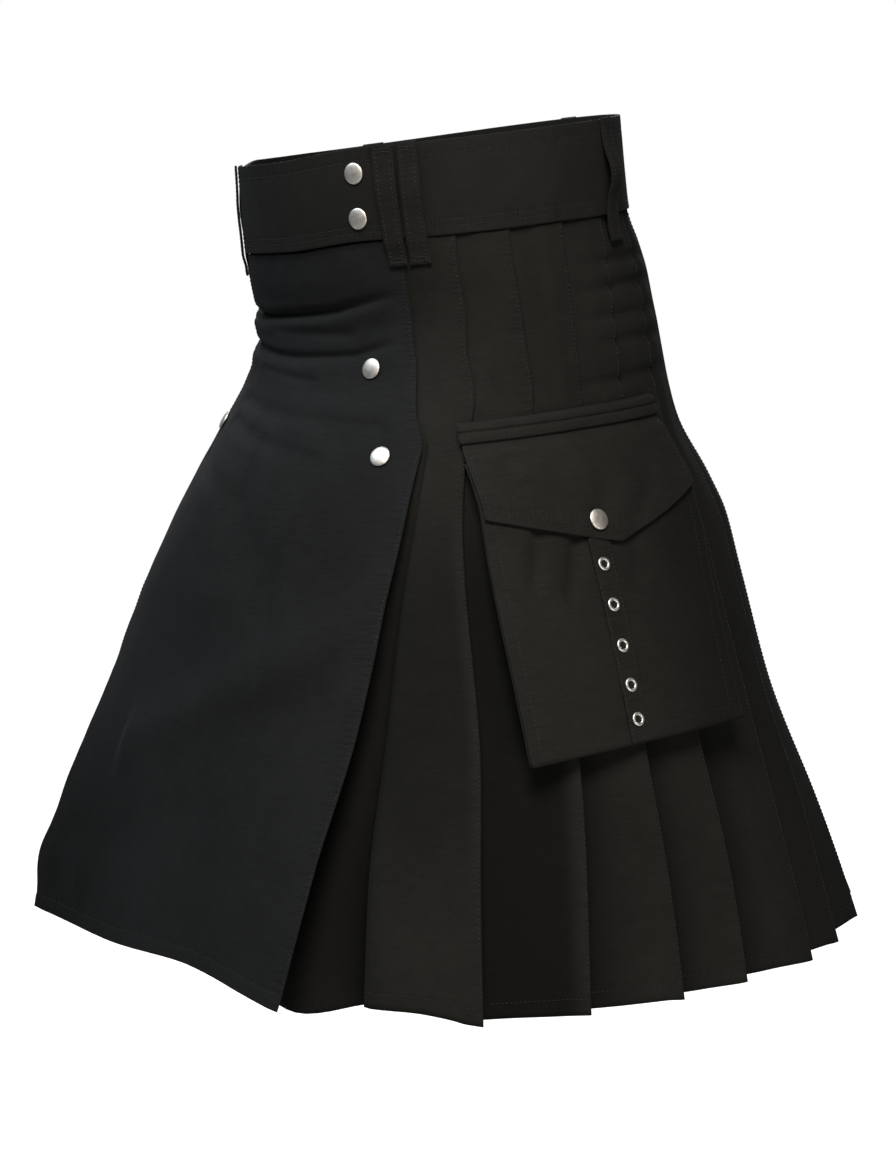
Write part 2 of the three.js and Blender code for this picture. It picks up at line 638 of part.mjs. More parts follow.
function apronSnap(snap) {
  const onBand = snap.on === 'band';
  const edge = along(APRON_SHAPE, 'edge', snap.drop);
  const across = onBand ? snap.angle : snap.angle / edge;
  const pointAt = onBand ? wornPoint : creasedApronPoint;
  const face = onBand ? BANDS.front.middle + BANDS.front.wall / 2 : APRON_OUT + CLOTH / 2;
  const step = onBand ? { across: 2, down: 6 } : { across: 0.05, down: 6 };
  const foot = pointAt(across, snap.drop, face + SNAP_GAP[snap.on]);
  return snapCap(snap.name, foot, outwardOn(pointAt, across, snap.drop, step));
}

function flapSnap() {
  const { across, level } = FLAP_SNAP;
  const share = (FLAP.top - level) / (FLAP.top - flapEdge(across));
  const foot = flapPoint(across, share, FLAP.wall / 2 + SNAP_GAP.flap);
  return snapCap('flap_snap', foot, outwardOn(flapPoint, across, share, { across: 0.05, down: 0.05 }));
}

function eyeletPlace(level) {
  const step = { across: 0.05, down: -4 };
  const outward = outwardOn(placketPoint, 0, level, step);
  return { foot: placketPoint(0, level, PLACKET.wall), outward };
}

function eyelet(level, number) {
  const { outer, barrel, hole, lip, foot, seat, top } = EYELET;
  const profile = [[hole, foot], [barrel, foot], [barrel, seat], [outer, seat], [outer - (top - seat), top],
    [hole + lip, top], [hole, foot]];
  const place = eyeletPlace(level);
  return piece(`eyelet_${number}`, standOn(turned(profile, 12), place.foot, place.outward), nickel);
}

// The placket has a round hole under each eyelet
const wasm = await Module();
wasm.setup();

function solidFrom(geometry) {
  const vertProperties = new Float32Array(geometry.getAttribute('position').array);
  const triVerts = new Uint32Array(geometry.index.array);
  return new wasm.Manifold(new wasm.Mesh({ numProp: 3, vertProperties, triVerts }));
}

function placket() {
  const levels = [PLACKET.top, -262, -296, -330, -362, PLACKET.bottom];
  const acrosses = [-PLACKET.half, 0, PLACKET.half];
  let solid = solidFrom(sheetGeometry(placketPoint, acrosses, levels, PLACKET.wall / 2, PLACKET.wall));
  EYELET.levels.forEach((level) => {
    const { foot, outward } = eyeletPlace(level);
    const r = EYELET.barrel + SEAM_GAP / 2;
    const cutter = turned([[0, -3], [r, -3], [r, 3], [0, 3]], 12);
    solid = solid.subtract(solidFrom(standOn(cutter, foot, outward)));
  });
  const cut = solid.getMesh();
  return piece('pocket_placket', fromFaces(cut.vertProperties, Array.from(cut.triVerts)), drill);
}

// The whole kilt

const kilt = new THREE.Group();
kilt.add(
  bandPiece('waistband_front', BANDS.front),
  bandPiece('waistband_back', BANDS.back),
  bandPiece('waistband_under', BANDS.under),
  frontApron(),
  underApron(),
  pleatedSide('pleats_left', 1, WAIST_DROPS.plain),
  pleatedSide('pleats_right', -1, WAIST_DROPS.creased),
  ...LOOPS.map(beltLoop),
  ...APRON_SNAPS.map(apronSnap),
);
const leftPieces = [
  pocketBag(),
  pocketStrip(),
  pocketFlap(),
  placket(),
  flapSnap(),
  ...EYELET.levels.map((level, i) => eyelet(level, i + 1)),
];
leftPieces.forEach((mesh) => kilt.add(...bothSides(mesh)));

export default kilt;
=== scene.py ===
"""A black utility kilt in its worn form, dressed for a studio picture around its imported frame."""

from bisect import bisect_right
from functools import lru_cache
from math import atan2, cos, degrees, exp, hypot, pi, radians, sin

import bmesh
import bpy
import numpy as np
from mathutils import Matrix, Vector, noise


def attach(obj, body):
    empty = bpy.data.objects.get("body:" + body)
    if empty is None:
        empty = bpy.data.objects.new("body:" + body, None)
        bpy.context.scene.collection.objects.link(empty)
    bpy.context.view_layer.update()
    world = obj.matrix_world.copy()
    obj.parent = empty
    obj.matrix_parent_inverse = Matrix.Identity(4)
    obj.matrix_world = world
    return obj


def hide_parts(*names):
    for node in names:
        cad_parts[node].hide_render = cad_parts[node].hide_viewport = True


bl_info = {
    "name": "Utility Kilt",
    "version": (1, 0, 0),
    "blender": (4, 5, 0),
    "location": "3D View > Sidebar > Kilt",
    "description": "Builds the cloth, sewing and fittings of a utility kilt on its frame",
    "category": "Object",
}

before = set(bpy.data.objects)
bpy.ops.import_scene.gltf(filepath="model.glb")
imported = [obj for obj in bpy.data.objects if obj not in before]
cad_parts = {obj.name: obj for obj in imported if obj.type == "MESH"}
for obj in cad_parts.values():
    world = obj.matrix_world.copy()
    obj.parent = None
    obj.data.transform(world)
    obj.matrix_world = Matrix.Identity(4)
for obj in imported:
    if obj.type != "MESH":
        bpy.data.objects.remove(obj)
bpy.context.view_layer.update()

# Tables and sizes are in millimetres and degrees, and MM turns a length into Blender's metres.
# An angle goes round from the middle of the front towards the wearer's left, a drop goes down
# from the band's top edge, and "out" goes away from the worn surface.
MM = 0.001
HEM_DROP = 587
BAND_HEIGHT = 66
TOP_TILT = 20
BODY = "root"


class Table:
    """Rows of named columns, read along a smooth line that keeps to the rows and doesn't overshoot."""

    def __init__(self, names, rows):
        self.keys = [row[0] for row in rows]
        self.columns = {name: [row[i] for row in rows] for i, name in enumerate(names)}
        self.slopes = {name: self.slopes_of(values) for name, values in self.columns.items()}
        self.read = lru_cache(maxsize=None)(self.work_out)

    def slopes_of(self, values):
        steps = list(zip(self.keys, self.keys[1:], values, values[1:]))
        rates = [(end - start) / (to - at) for at, to, start, end in steps]
        middle = [2 * a * b / (a + b) if a * b > 0 else 0.0 for a, b in zip(rates, rates[1:])]
        return [rates[0], *middle, rates[-1]]

    def work_out(self, name, key):
        last = len(self.keys) - 2
        row = min(max(bisect_right(self.keys, key) - 1, 0), last)
        span = self.keys[row + 1] - self.keys[row]
        share = min(max((key - self.keys[row]) / span, 0.0), 1.0)
        start, end = self.columns[name][row:row + 2]
        leaving, arriving = self.slopes[name][row:row + 2]
        bend = share * share * (3 - 2 * share)
        rise = share * (1 - share) ** 2 * leaving - share * share * (1 - share) * arriving
        return start + (end - start) * bend + span * rise


WORN = Table(("drop", "side", "front", "back"), [
    (0, 158, 123.5, 136), (66, 160, 115.5, 147), (92, 162, 111, 161.5), (112, 164, 105, 170.5),
    (130, 166, 102, 175.5), (148, 168.5, 103.5, 180.5), (168, 171.5, 110, 185), (192, 175.5, 127, 190.5),
    (220, 182, 150, 200), (262, 195, 181, 230), (292, 206, 199, 246), (330, 221, 217, 253),
    (410, 251, 243.5, 271), (500, 284.5, 277, 310), (587, 312, 292, 350),
])
# The band dips at the front, more on the wearer's right, and a little at both hips; the dip fades below it
FRONT_DIP = {"depth": 4.5, "starts": -62, "full": -42, "eases": 0, "ends": 30}
HIP_DIP = 3
DIP_GONE = 110
# Two deep creases round the front of the waist, in every layer: their drop and depth at some angles
WAIST_CREASES = [
    Table(("angle", "drop", "depth"), [
        (-88, 106, 0), (-74, 107, 7), (-54, 110, 8.5), (-30, 119, 7), (-4, 117, 5.5), (12, 115, 4.5),
        (24, 110, 3), (37, 106, 0)]),
    Table(("angle", "drop", "depth"), [
        (-88, 133, 0), (-74, 134, 5), (-54, 137.5, 6), (-30, 144, 4.5), (-4, 149, 3.5), (18, 148.5, 3),
        (27, 144, 2), (36, 140, 0)]),
]
CREASE_REACH = 3.7
APRON = Table(("drop", "edge", "flat"), [
    (66, 40.4, 0), (130, 38.5, 0), (168, 41, 0.05), (192, 44.5, 0.1), (220, 49.4, 0.16),
    (262, 49.6, 0.25), (330, 47.5, 0.42), (410, 43.8, 0.62), (500, 39.3, 0.82), (587, 34.7, 0.94),
])
# How the cloth beside the apron opens below the stitching
OPENING = Table(("drop", "crease", "recess", "open", "depth", "underlay"), [
    (66, 43, 0, 0, 4.2, 20), (192, 46.5, 0, 0, 4.2, 20), (220, 51, 2.5, 0.04, 5, 20),
    (262, 51.5, 7.5, 0.15, 7, 19), (330, 50, 15, 0.35, 10, 18), (410, 47.8, 22, 0.58, 13, 17),
    (500, 46.2, 27, 0.8, 16, 16), (587, 44.9, 30, 1, 19, 15),
])
# Each knife pleat's folded edge at five drops, and how far it stands proud at the hem
FOLD_DROPS = (66, 145, 192, 410, 587)
PLEATS = [
    {"angles": (55.9, 55.2, 60.2, 62.7, 60.5), "proud": 14},
    {"angles": (72.9, 75.2, 78.2, 78.6, 74.4), "proud": 4},
    {"angles": (92.8, 94.2, 94.4, 91.3, 88.9), "proud": 0},
    {"angles": (109.4, 108.4, 107.4, 103.3, 99.6), "proud": -3},
    {"angles": (125.6, 125, 123.5, 119, 112.6), "proud": 0},
    {"angles": (138, 137.4, 135.5, 130.5, 122.5), "proud": -2},
    {"angles": (149.5, 148.9, 147.5, 143.5, 136.5), "proud": 0},
    {"angles": (160.5, 160, 159, 156, 150.5), "proud": 2},
    {"angles": (171, 170.6, 170, 168, 164.5), "proud": 0},
]
FOLDS = [Table(("drop", "angle"), list(zip(FOLD_DROPS, pleat["angles"]))) for pleat in PLEATS]
# The folded layers lie close where they are stitched down, and open from there
PLIES = Table(("drop", "ply"), [(66, 1.0), (192, 1.0), (262, 1.7), (330, 2.1)])
PLEAT_RISE = 5.5
FELL_END = 196
HIDDEN_FRONT = (0.87, 0.97)
# Columns of the pleated cloth: before the first pleat, round one pleat, and over one pleat's top layer
FRONT_COLUMNS, PLEAT_COLUMNS, TOP_COLUMNS = 22, 28, 8
# How far the hem of the cloth beside the apron hangs, over its columns
FRONT_SAG = Table(("column", "sag"), [
    (0, 10), (4, 10), (10, 0), (13, -6), (18, -6), (24, -1), (34, 0), (400, 0),
])
# Creases round the hip over the stitched pleats: angles and drops of both ends
HIP_CREASES = [
    {"angles": (98, 142), "drops": (101, 97), "width": 4.5, "height": -2.6},
    {"angles": (94, 142), "drops": (120, 115), "width": 4.5, "height": -3.0},
    {"angles": (92, 142), "drops": (140, 136), "width": 4.0, "height": -2.2},
    {"angles": (95, 142), "drops": (158, 154), "width": 4.5, "height": -2.4},
    {"angles": (88, 140), "drops": (186, 178), "width": 5.0, "height": -2.8},
    {"angles": (66, 92), "drops": (150, 128), "width": 7.0, "height": -0.9},
    {"angles": (46, 62), "drops": (347, 374), "width": 7.0, "height": -2.0},
]

BANDS = {
    "waistband_under": {"from": -40, "to": 40, "middle": -2, "wall": 1.8},
    "waistband_back": {"from": 31, "to": 329, "middle": 0.6, "wall": 2.4},
    "waistband_front": {"from": -36.2, "to": 36.2, "middle": 3.4, "wall": 2.2},
}
APRON_OUT = 1.9
UNDER_APRON_REACH = 0.92

# The cloth's main creases on the apron: across from -1 to 1 at the wearer's left, and drops at both ends
APRON_CREASES = [
    {"ends": (-0.5, 0.55), "drops": (128, 133), "width": 4, "height": -1.3},
    {"ends": (-0.6, 0.25), "drops": (158, 168), "width": 3.5, "height": -1.5},
    {"ends": (0.0, 0.55), "drops": (172, 178), "width": 4, "height": -1.2},
    {"ends": (-0.75, 0.86), "drops": (182, 203), "width": 6, "height": -2.6},
    {"ends": (-0.65, 0.5), "drops": (196, 226), "width": 6, "height": -2.2},
    {"ends": (0.4, 0.8), "drops": (210, 209), "width": 5, "height": -1.4},
    {"ends": (-0.8, 0.1), "drops": (224, 262), "width": 7, "height": -1.6},
    {"ends": (-0.1, 0.45), "drops": (250, 330), "width": 34, "height": -5},
    {"ends": (-0.55, 0.95), "drops": (452, 330), "width": 26, "height": 7},
    {"ends": (-0.9, 0.3), "drops": (545, 470), "width": 30, "height": -4},
    {"ends": (-1.6, -0.5), "drops": (546, 546), "width": 22, "height": 6},
]
CREASE_FADE = 0.2
# The apron's hem rides up a little between two places across it
HEM_LIFT = {"height": 7, "ends": (-0.33, 0.99), "starts": 480}

# Belt loops: angle and half width at the top and foot, the band each lies on, and its bow
LOOP_FOOT = 86
LOOP_CLOTH = 1.6
APRON_LOOP = {"top": 36.95, "foot": 38.4, "half": (3.2, 2.7), "on": "waistband_front", "sewn_out": 3.2}
SIDE_LOOP = {"top": 43.75, "foot": 44.7, "half": (2.85, 3.2), "on": "waistband_back", "sewn_out": 1.1}
REAR_LOOP = {"top": 113.2, "foot": 114.5, "half": (3.3, 3.3), "on": "waistband_back", "sewn_out": 1.1}
LOOPS = [
    {**APRON_LOOP, "name": "belt_loop_apron_left", "side": 1, "bow": 1.2, "fullest": 33},
    {**APRON_LOOP, "name": "belt_loop_apron_right", "side": -1, "bow": 0.8, "fullest": 33},
    {**SIDE_LOOP, "name": "belt_loop_side_left", "side": 1, "bow": 1.6, "fullest": 33},
    {**SIDE_LOOP, "name": "belt_loop_side_right", "side": -1, "bow": 1.6, "fullest": 33},
    {**REAR_LOOP, "name": "belt_loop_rear_left", "side": 1, "bow": 6.5, "fullest": 38},
    {**REAR_LOOP, "name": "belt_loop_rear_right", "side": -1, "bow": 3.6, "fullest": 33},
    {"name": "belt_loop_back", "side": 1, "top": 180, "foot": 180, "half": (3.2, 3.2), "on": "waistband_back",
     "sewn_out": 1.1, "bow": 2.4, "fullest": 33},
]

# The pocket: "fall" is how far below the origin it is at its middle, and "flat" how freely it hangs there
POCKET = Table(("fall", "front_angle", "back_angle", "front_y", "back_y", "flat", "slant"), [
    (166, 56.3, 116.4, -99, 76, 0, 9.3), (181, 58.5, 117.5, -98, 78, 0.03, 9.3),
    (229, 65.3, 120.8, -97, 86, 0.3, 9.3), (310, 68, 117, -97, 89, 0.62, 8.6),
    (395, 70.4, 112.6, -98, 92, 0.85, 7.3),
])
POCKET_MIDDLE = {"angle": 88.5, "y": -3}
POCKET_TOP, POCKET_BOTTOM = 193, 388.5
POCKET_STAND = 2.4
POCKET_SEAT = 1.2
POCKET_MOUTH, POCKET_BULGE = 3.6, 3.0
STRIP = {"top": 166, "bottom": 180.6, "thickness": 3.6, "ridge": 1.4}
FLAP = {"top": 181, "corner": 229, "tip": 257.5, "tip_across": 0.18, "over": 2.6, "wall": 1.3, "lift": 9}
PLACKET = {"half": 0.092, "top": 244, "bottom": 387.5, "wall": 1.2}
EYELET = {"outer": 4.9, "barrel": 3.2, "hole": 2.6, "falls": (270, 297, 324, 350, 372.5)}
SNAP_RADIUS = 7.5
APRON_SNAPS = [
    {"name": "snap_band_top_left", "angle": 28, "drop": 18, "on": "band"},
    {"name": "snap_band_low_left", "angle": 28, "drop": 50, "on": "band"},
    {"name": "snap_apron_top_left", "angle": 26.4, "drop": 158, "on": "apron"},
    {"name": "snap_apron_low_left", "angle": 38.8, "drop": 221, "on": "apron"},
    {"name": "snap_apron_low_right", "angle": -37.8, "drop": 202, "on": "apron"},
]
FLAP_SNAP = {"across": 0.03, "fall": 240.5}


# Small sums

def mix(start, end, share):
    return start + (end - start) * share


def ease(value, low, high):
    share = min(max((value - low) / (high - low), 0.0), 1.0)
    return share * share * (3 - 2 * share)


def spread(start, end, count):
    return [mix(start, end, i / (count - 1)) for i in range(count)]


def ripple(*place):
    """Smooth noise from about -1 to 1, the same at each run."""
    return noise.noise(Vector(place))


def near(value, line, width):
    return exp(-((value - line) / width) ** 2)


def mirrored_point(point, side):
    return Vector((point.x * side, point.y, point.z))


# Places on the worn form, in metres

def band_dip(angle, drop):
    front = FRONT_DIP["depth"] * ease(angle, FRONT_DIP["starts"], FRONT_DIP["full"])
    front *= 1 - ease(angle, FRONT_DIP["eases"], FRONT_DIP["ends"])
    hip = HIP_DIP * sin(radians(angle)) ** 2
    return (front + hip) * (1 - ease(drop, BAND_HEIGHT, DIP_GONE))


def waist_crease(angle, drop):
    if not (-88 < angle < 37 and 85 < drop < 185):
        return 0.0
    total = 0.0
    for line in WAIST_CREASES:
        past = drop - line.read("drop", angle)
        total += line.read("depth", angle) * (0.28 * near(past, 9, 6) - near(past, 0, CREASE_REACH))
    return total


def worn_point(angle, drop, out=0.0):
    turn = radians(angle)
    signed = (angle + 180) % 360 - 180
    side = WORN.read("side", drop)
    depth = WORN.read("front" if cos(turn) > 0 else "back", drop)
    away_x, away_y = sin(turn) / side, -cos(turn) / depth
    size = hypot(away_x, away_y)
    tilt = TOP_TILT * (1 - drop / HEM_DROP)
    away = (out + waist_crease(signed, drop)) / size
    return Vector((
        side * sin(turn) + away * away_x,
        -depth * cos(turn) + away * away_y,
        BAND_HEIGHT / 2 - drop - tilt * cos(turn) - band_dip(signed, drop),
    )) * MM


def mm_per_degree(angle, drop):
    turn = radians(angle)
    side = WORN.read("side", drop)
    depth = WORN.read("front" if cos(turn) > 0 else "back", drop)
    return radians(hypot(side * cos(turn), depth * sin(turn)))


def drop_at_height(angle, z):
    dip = TOP_TILT * cos(radians(angle))
    return (BAND_HEIGHT / 2 - z - dip) / (1 - dip / HEM_DROP)


def windowed(value, start, end, fade=0.6):
    share = 1 - abs(value - (start + end) / 2) / abs((end - start) / 2)
    return ease(share, 0, fade)


def apron_relief(across, drop):
    total = 0.0
    for crease in APRON_CREASES:
        start, end = crease["ends"]
        share = (across - start) / (end - start)
        line = mix(*crease["drops"], share)
        shown = windowed(across, start, end, CREASE_FADE)
        total += crease["height"] * near(drop, line, crease["width"]) * shown
    return total


def apron_point(across, drop, out=0.0):
    edge = APRON.read("edge", drop)
    point = worn_point(across * edge, drop, out)
    on_surface = worn_point(across * edge, drop).y
    point.y += APRON.read("flat", drop) * (worn_point(edge, drop).y - on_surface)
    lifted = ease(drop, HEM_LIFT["starts"], HEM_DROP) * windowed(across, *HEM_LIFT["ends"], 1)
    point.z += HEM_LIFT["height"] * lifted * MM
    return point


def creased_apron_point(across, drop, out=0.0):
    return apron_point(across, drop, out + apron_relief(across, drop))


def hip_relief(angle, drop):
    total = 0.0
    for crease in HIP_CREASES:
        start, end = crease["angles"]
        if start < angle < end:
            line = mix(*crease["drops"], (angle - start) / (end - start))
            total += crease["height"] * near(drop, line, crease["width"]) * windowed(angle, start, end)
    return total


def pleat_controls(drop, side):
    """The pleated cloth's line at one drop, as if on the wearer's left.

    Each row of the list is a place and the number of columns from it to the next place.
    """
    crease, recess, opened, depth, underlay = (
        OPENING.read(name, drop) for name in ("crease", "recess", "open", "depth", "underlay"))
    ply = PLIES.read("ply", drop)
    depth = depth - 2 * (2.1 - ply)

    def at(angle, out):
        sway = 1.6 * opened * ripple(angle * 0.06, drop * 0.007, 11.5 * side)
        return mirrored_point(worn_point(side * angle, drop, out + hip_relief(angle, drop) + sway), side)

    start = mix(HIDDEN_FRONT[0], 0.72, opened)
    line = [(mirrored_point(apron_point(side * across, drop, -recess), side), 4)
            for across in (start, HIDDEN_FRONT[1])]
    tucked = crease - 0.8 + 2.3 * ease(drop, 200, 280)
    line[1] = (line[1][0], 7)
    line.append((mirrored_point(worn_point(side * tucked, drop, -recess), side), 3))
    line.append((mirrored_point(worn_point(side * crease, drop), side), 8))
    for number, (pleat, fold) in enumerate(zip(PLEATS, FOLDS)):
        wander = 1.3 * opened * ripple(number * 3.7, drop * 0.008, 21.5 * side)
        edge = fold.read("angle", drop) + wander / mm_per_degree(fold.read("angle", drop), drop)
        hidden = edge - underlay / mm_per_degree(edge, drop)
        proud = pleat["proud"] * opened
        line += [
            (at(hidden, proud - PLEAT_RISE * opened), TOP_COLUMNS),
            (at(edge, proud), 2),
            (at(edge, proud - ply), 3),
            (at(hidden, proud - depth + ply), 2),
            (at(hidden, proud - depth), 3),
            (at(edge, proud - depth * (1 - 0.17 * opened)), 10),
        ]
    seam = 0.2 / mm_per_degree(180, drop)
    line.append((at(180 - seam, -depth * opened * 0.5), 0))
    return line


@lru_cache(maxsize=None)
def pleat_row(drop, side):
    """Every point across the pleated cloth at one drop, with the folds a little rounded."""
    controls = pleat_controls(drop, side)
    points = []
    for (start, columns), (end, _) in zip(controls, controls[1:]):
        points += [start.lerp(end, i / columns) for i in range(columns)]
    points.append(controls[-1][0])
    for _ in range(2):
        inner = [(a + b + b + c) / 4 for a, b, c in zip(points, points[1:], points[2:])]
        points = [points[0], *inner, points[-1]]
    opened = OPENING.read("open", drop)
    for column, point in enumerate(points):
        angle = degrees(atan2(point.x, -point.y))
        soft = 2.6 * MM * opened * ripple(angle * 0.17, drop * 0.006, 31.5 * side)
        away = Vector((point.x, point.y, 0)).normalized()
        point += away * soft
        point.z -= FRONT_SAG.read("sag", column) * MM * ease(drop, 460, HEM_DROP)
    return points


def pleat_facing(column, drop, face, side=1):
    """A place on the pleated cloth's outer face, and the way out of it there."""
    points, below = pleat_row(drop, side), pleat_row(drop + 3, side)
    low = min(int(column), len(points) - 2)
    place = points[low].lerp(points[low + 1], column - low)
    away = (points[low + 1] - points[low]).cross(place - below[low].lerp(below[low + 1], column - low))
    away = away.normalized()
    return mirrored_point(place + away * face * MM, side), mirrored_point(away, side)


def pocket_point(across, fall, out=0.0):
    z = -fall + POCKET.read("slant", fall) * across
    end = "front" if across < 0 else "back"
    share = abs(across)
    angle = mix(POCKET_MIDDLE["angle"], POCKET.read(end + "_angle", fall), share)
    stand = POCKET_STAND * ease(fall, STRIP["bottom"], FLAP["corner"])
    wrapped = worn_point(angle, drop_at_height(angle, z), out + stand)
    middle = worn_point(POCKET_MIDDLE["angle"], drop_at_height(POCKET_MIDDLE["angle"], z), out + stand)
    hanging = Vector((middle.x, mix(POCKET_MIDDLE["y"], POCKET.read(end + "_y", fall), share) * MM, z * MM))
    place = wrapped.lerp(hanging, POCKET.read("flat", fall))
    place.z = z * MM
    return place


def bag_face(across, fall):
    down = min(max((fall - POCKET_TOP) / (POCKET_BOTTOM - POCKET_TOP), 0.0), 1.0)
    swell = (1 - across ** 4) * sin(pi * down ** 0.8)
    return POCKET_SEAT + POCKET_MOUTH + POCKET_BULGE * swell


def flap_edge(across):
    tip = FLAP["tip_across"]
    share = (across + 1) / (tip + 1) if across < tip else (1 - across) / (1 - tip)
    return mix(FLAP["corner"], FLAP["tip"], share)


def flap_point(across, share, out=0.0):
    fall = mix(FLAP["top"], flap_edge(across), share)
    lifted = ease(fall, FLAP["top"], FLAP["top"] + FLAP["lift"])
    root = POCKET_SEAT + STRIP["thickness"] - FLAP["wall"]
    rest = mix(root, bag_face(across, max(fall, POCKET_TOP)) + FLAP["over"], lifted)
    return pocket_point(across, fall, out + rest)


def placket_point(across, fall, out=0.0):
    return pocket_point(across, fall, out + bag_face(across, fall) + 0.4)


# Making pieces

def finished(node, bm, material, ending="_cloth"):
    name = node + ending
    mesh = bpy.data.meshes.new(name)
    for face in bm.faces:
        face.smooth = True
    bm.to_mesh(mesh)
    bm.free()
    piece = bpy.data.objects.new(name, mesh)
    bpy.context.scene.collection.objects.link(piece)
    mesh.materials.append(bpy.data.materials[material])
    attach(piece, BODY)
    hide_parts(node)
    return piece


def cloth_grid(acrosses, downs, place, cut, side=1, seams=None, painted_shade=None):
    """A grid of cloth.

    place(across, down) is where it lies, and cut(across, down) its spot on the flat cloth.
    seams(across, down) tells how near it is to a seam that runs down and to one that runs round, 0 to 1.
    The last function tells how much painted shade darkens the cloth there, 0 to 1: shade painted into its
    folds and recesses and where it is turned from the light.
    """
    bm = bmesh.new()
    columns, rows = len(acrosses), len(downs)
    bmesh.ops.create_grid(bm, x_segments=columns - 1, y_segments=rows - 1, size=0.5)
    if len(bm.verts) != columns * rows:
        raise RuntimeError("the grid has the wrong number of points")
    uv = bm.loops.layers.uv.new("cloth")
    sewn = bm.loops.layers.uv.new("sewn")
    # A map of painted shade, read by the cloth material
    painted_shade_map = bm.loops.layers.uv.new("painted_shade_map")
    where = {}
    for vertex in bm.verts:
        column = round((vertex.co.x + 0.5) * (columns - 1))
        row = round((0.5 - vertex.co.y) * (rows - 1))
        where[vertex] = (acrosses[column], downs[row])
    for face in bm.faces:
        for loop in face.loops:
            loop[uv].uv = cut(*where[loop.vert])
            loop[sewn].uv = seams(*where[loop.vert]) if seams else (0.0, 0.0)
            loop[painted_shade_map].uv = (painted_shade(*where[loop.vert]) if painted_shade else 0.0, 0.0)
    for vertex, (across, down) in where.items():
        vertex.co = mirrored_point(place(across, down), side)
    if side < 0:
        bmesh.ops.reverse_faces(bm, faces=bm.faces)
    return bm


def thicken(piece, wall, bevel=0.0):
    solid = piece.modifiers.new("wall", "SOLIDIFY")
    solid.thickness = wall * MM
    solid.offset = 0.0
    if bevel:
        edge = piece.modifiers.new("soft edges", "BEVEL")
        edge.width = bevel * MM
        edge.segments = 2
        edge.limit_method = "ANGLE"
    return piece


def round_cut(angle, drop):
    return (angle * mm_per_degree(angle, 300) * MM, -drop * MM)


# Materials

def add_group(name, inputs, outputs):
    group = bpy.data.node_groups.new(name, "ShaderNodeTree")
    for socket, kind, default in inputs:
        made = group.interface.new_socket(socket, in_out="INPUT", socket_type=kind)
        if default is not None:
            made.default_value = default
    for socket, kind in outputs:
        group.interface.new_socket(socket, in_out="OUTPUT", socket_type=kind)
    return group, group.nodes.new("NodeGroupInput"), group.nodes.new("NodeGroupOutput")


def add_math(tree, operation, *values):
    node = tree.nodes.new("ShaderNodeMath")
    node.operation = operation
    for socket, value in zip(node.inputs, values):
        if isinstance(value, (int, float)):
            socket.default_value = value
        else:
            tree.links.new(value, socket)
    return node.outputs[0]


def add_noise(tree, vector, scale, detail=3.0, roughness=0.55):
    node = tree.nodes.new("ShaderNodeTexNoise")
    node.inputs["Scale"].default_value = scale
    node.inputs["Detail"].default_value = detail
    node.inputs["Roughness"].default_value = roughness
    tree.links.new(vector, node.inputs["Vector"])
    return node.outputs["Fac"]


def add_stretch(tree, vector, stretch):
    node = tree.nodes.new("ShaderNodeVectorMath")
    node.operation = "MULTIPLY"
    node.inputs[1].default_value = stretch
    tree.links.new(vector, node.inputs[0])
    return node.outputs[0]


def add_range(tree, value, low, high, to_low=0.0, to_high=1.0):
    node = tree.nodes.new("ShaderNodeMapRange")
    for socket, number in zip(node.inputs[1:5], (low, high, to_low, to_high)):
        socket.default_value = number
    tree.links.new(value, node.inputs[0])
    return node.outputs[0]


def drill_weave_group():
    """Twill wales, uneven threads and fine lint of a cotton drill, from the cloth's own coordinates."""
    group, given, result = add_group(
        "drill weave",
        [("Cloth", "NodeSocketVector", None), ("Slub", "NodeSocketFloat", 1.0)],
        [("Height", "NodeSocketFloat"), ("Tone", "NodeSocketFloat")],
    )
    cloth = given.outputs["Cloth"]
    parts = group.nodes.new("ShaderNodeSeparateXYZ")
    group.links.new(cloth, parts.inputs[0])
    across, down = parts.outputs[0], parts.outputs[1]
    slant = add_math(group, "ADD", across, add_math(group, "MULTIPLY", down, 1.4))
    wale = add_math(group, "SINE", add_math(group, "MULTIPLY", slant, 2 * pi / 0.0011))
    weft = add_noise(group, add_stretch(group, cloth, (170, 1250, 1)), 1.0, 2.0)
    warp = add_noise(group, add_stretch(group, cloth, (1100, 120, 1)), 1.0, 2.0)
    slub = add_noise(group, add_stretch(group, cloth, (45, 520, 1)), 1.0, 2.0)
    threads = add_math(group, "ADD", weft, add_math(group, "MULTIPLY", warp, 0.6))
    uneven = add_math(group, "MULTIPLY", slub, given.outputs["Slub"])
    height = add_math(group, "ADD", threads, add_math(group, "MULTIPLY", wale, 0.16))
    group.links.new(add_math(group, "ADD", height, uneven), result.inputs["Height"])
    tone = add_math(group, "ADD", threads, uneven)
    group.links.new(add_range(group, tone, 0.75, 1.85), result.inputs["Tone"])
    return group


def worn_black_group():
    """Where black cloth has faded a little or holds lint, from its place on the piece."""
    group, given, result = add_group(
        "worn black", [("Place", "NodeSocketVector", None)], [("Faded", "NodeSocketFloat")])
    broad = add_noise(group, given.outputs["Place"], 9.0, 3.0)
    fine = add_noise(group, given.outputs["Place"], 70.0, 4.0, 0.65)
    both = add_math(group, "ADD", broad, add_math(group, "MULTIPLY", fine, 0.55))
    group.links.new(add_range(group, both, 0.55, 1.0), result.inputs["Faded"])
    return group


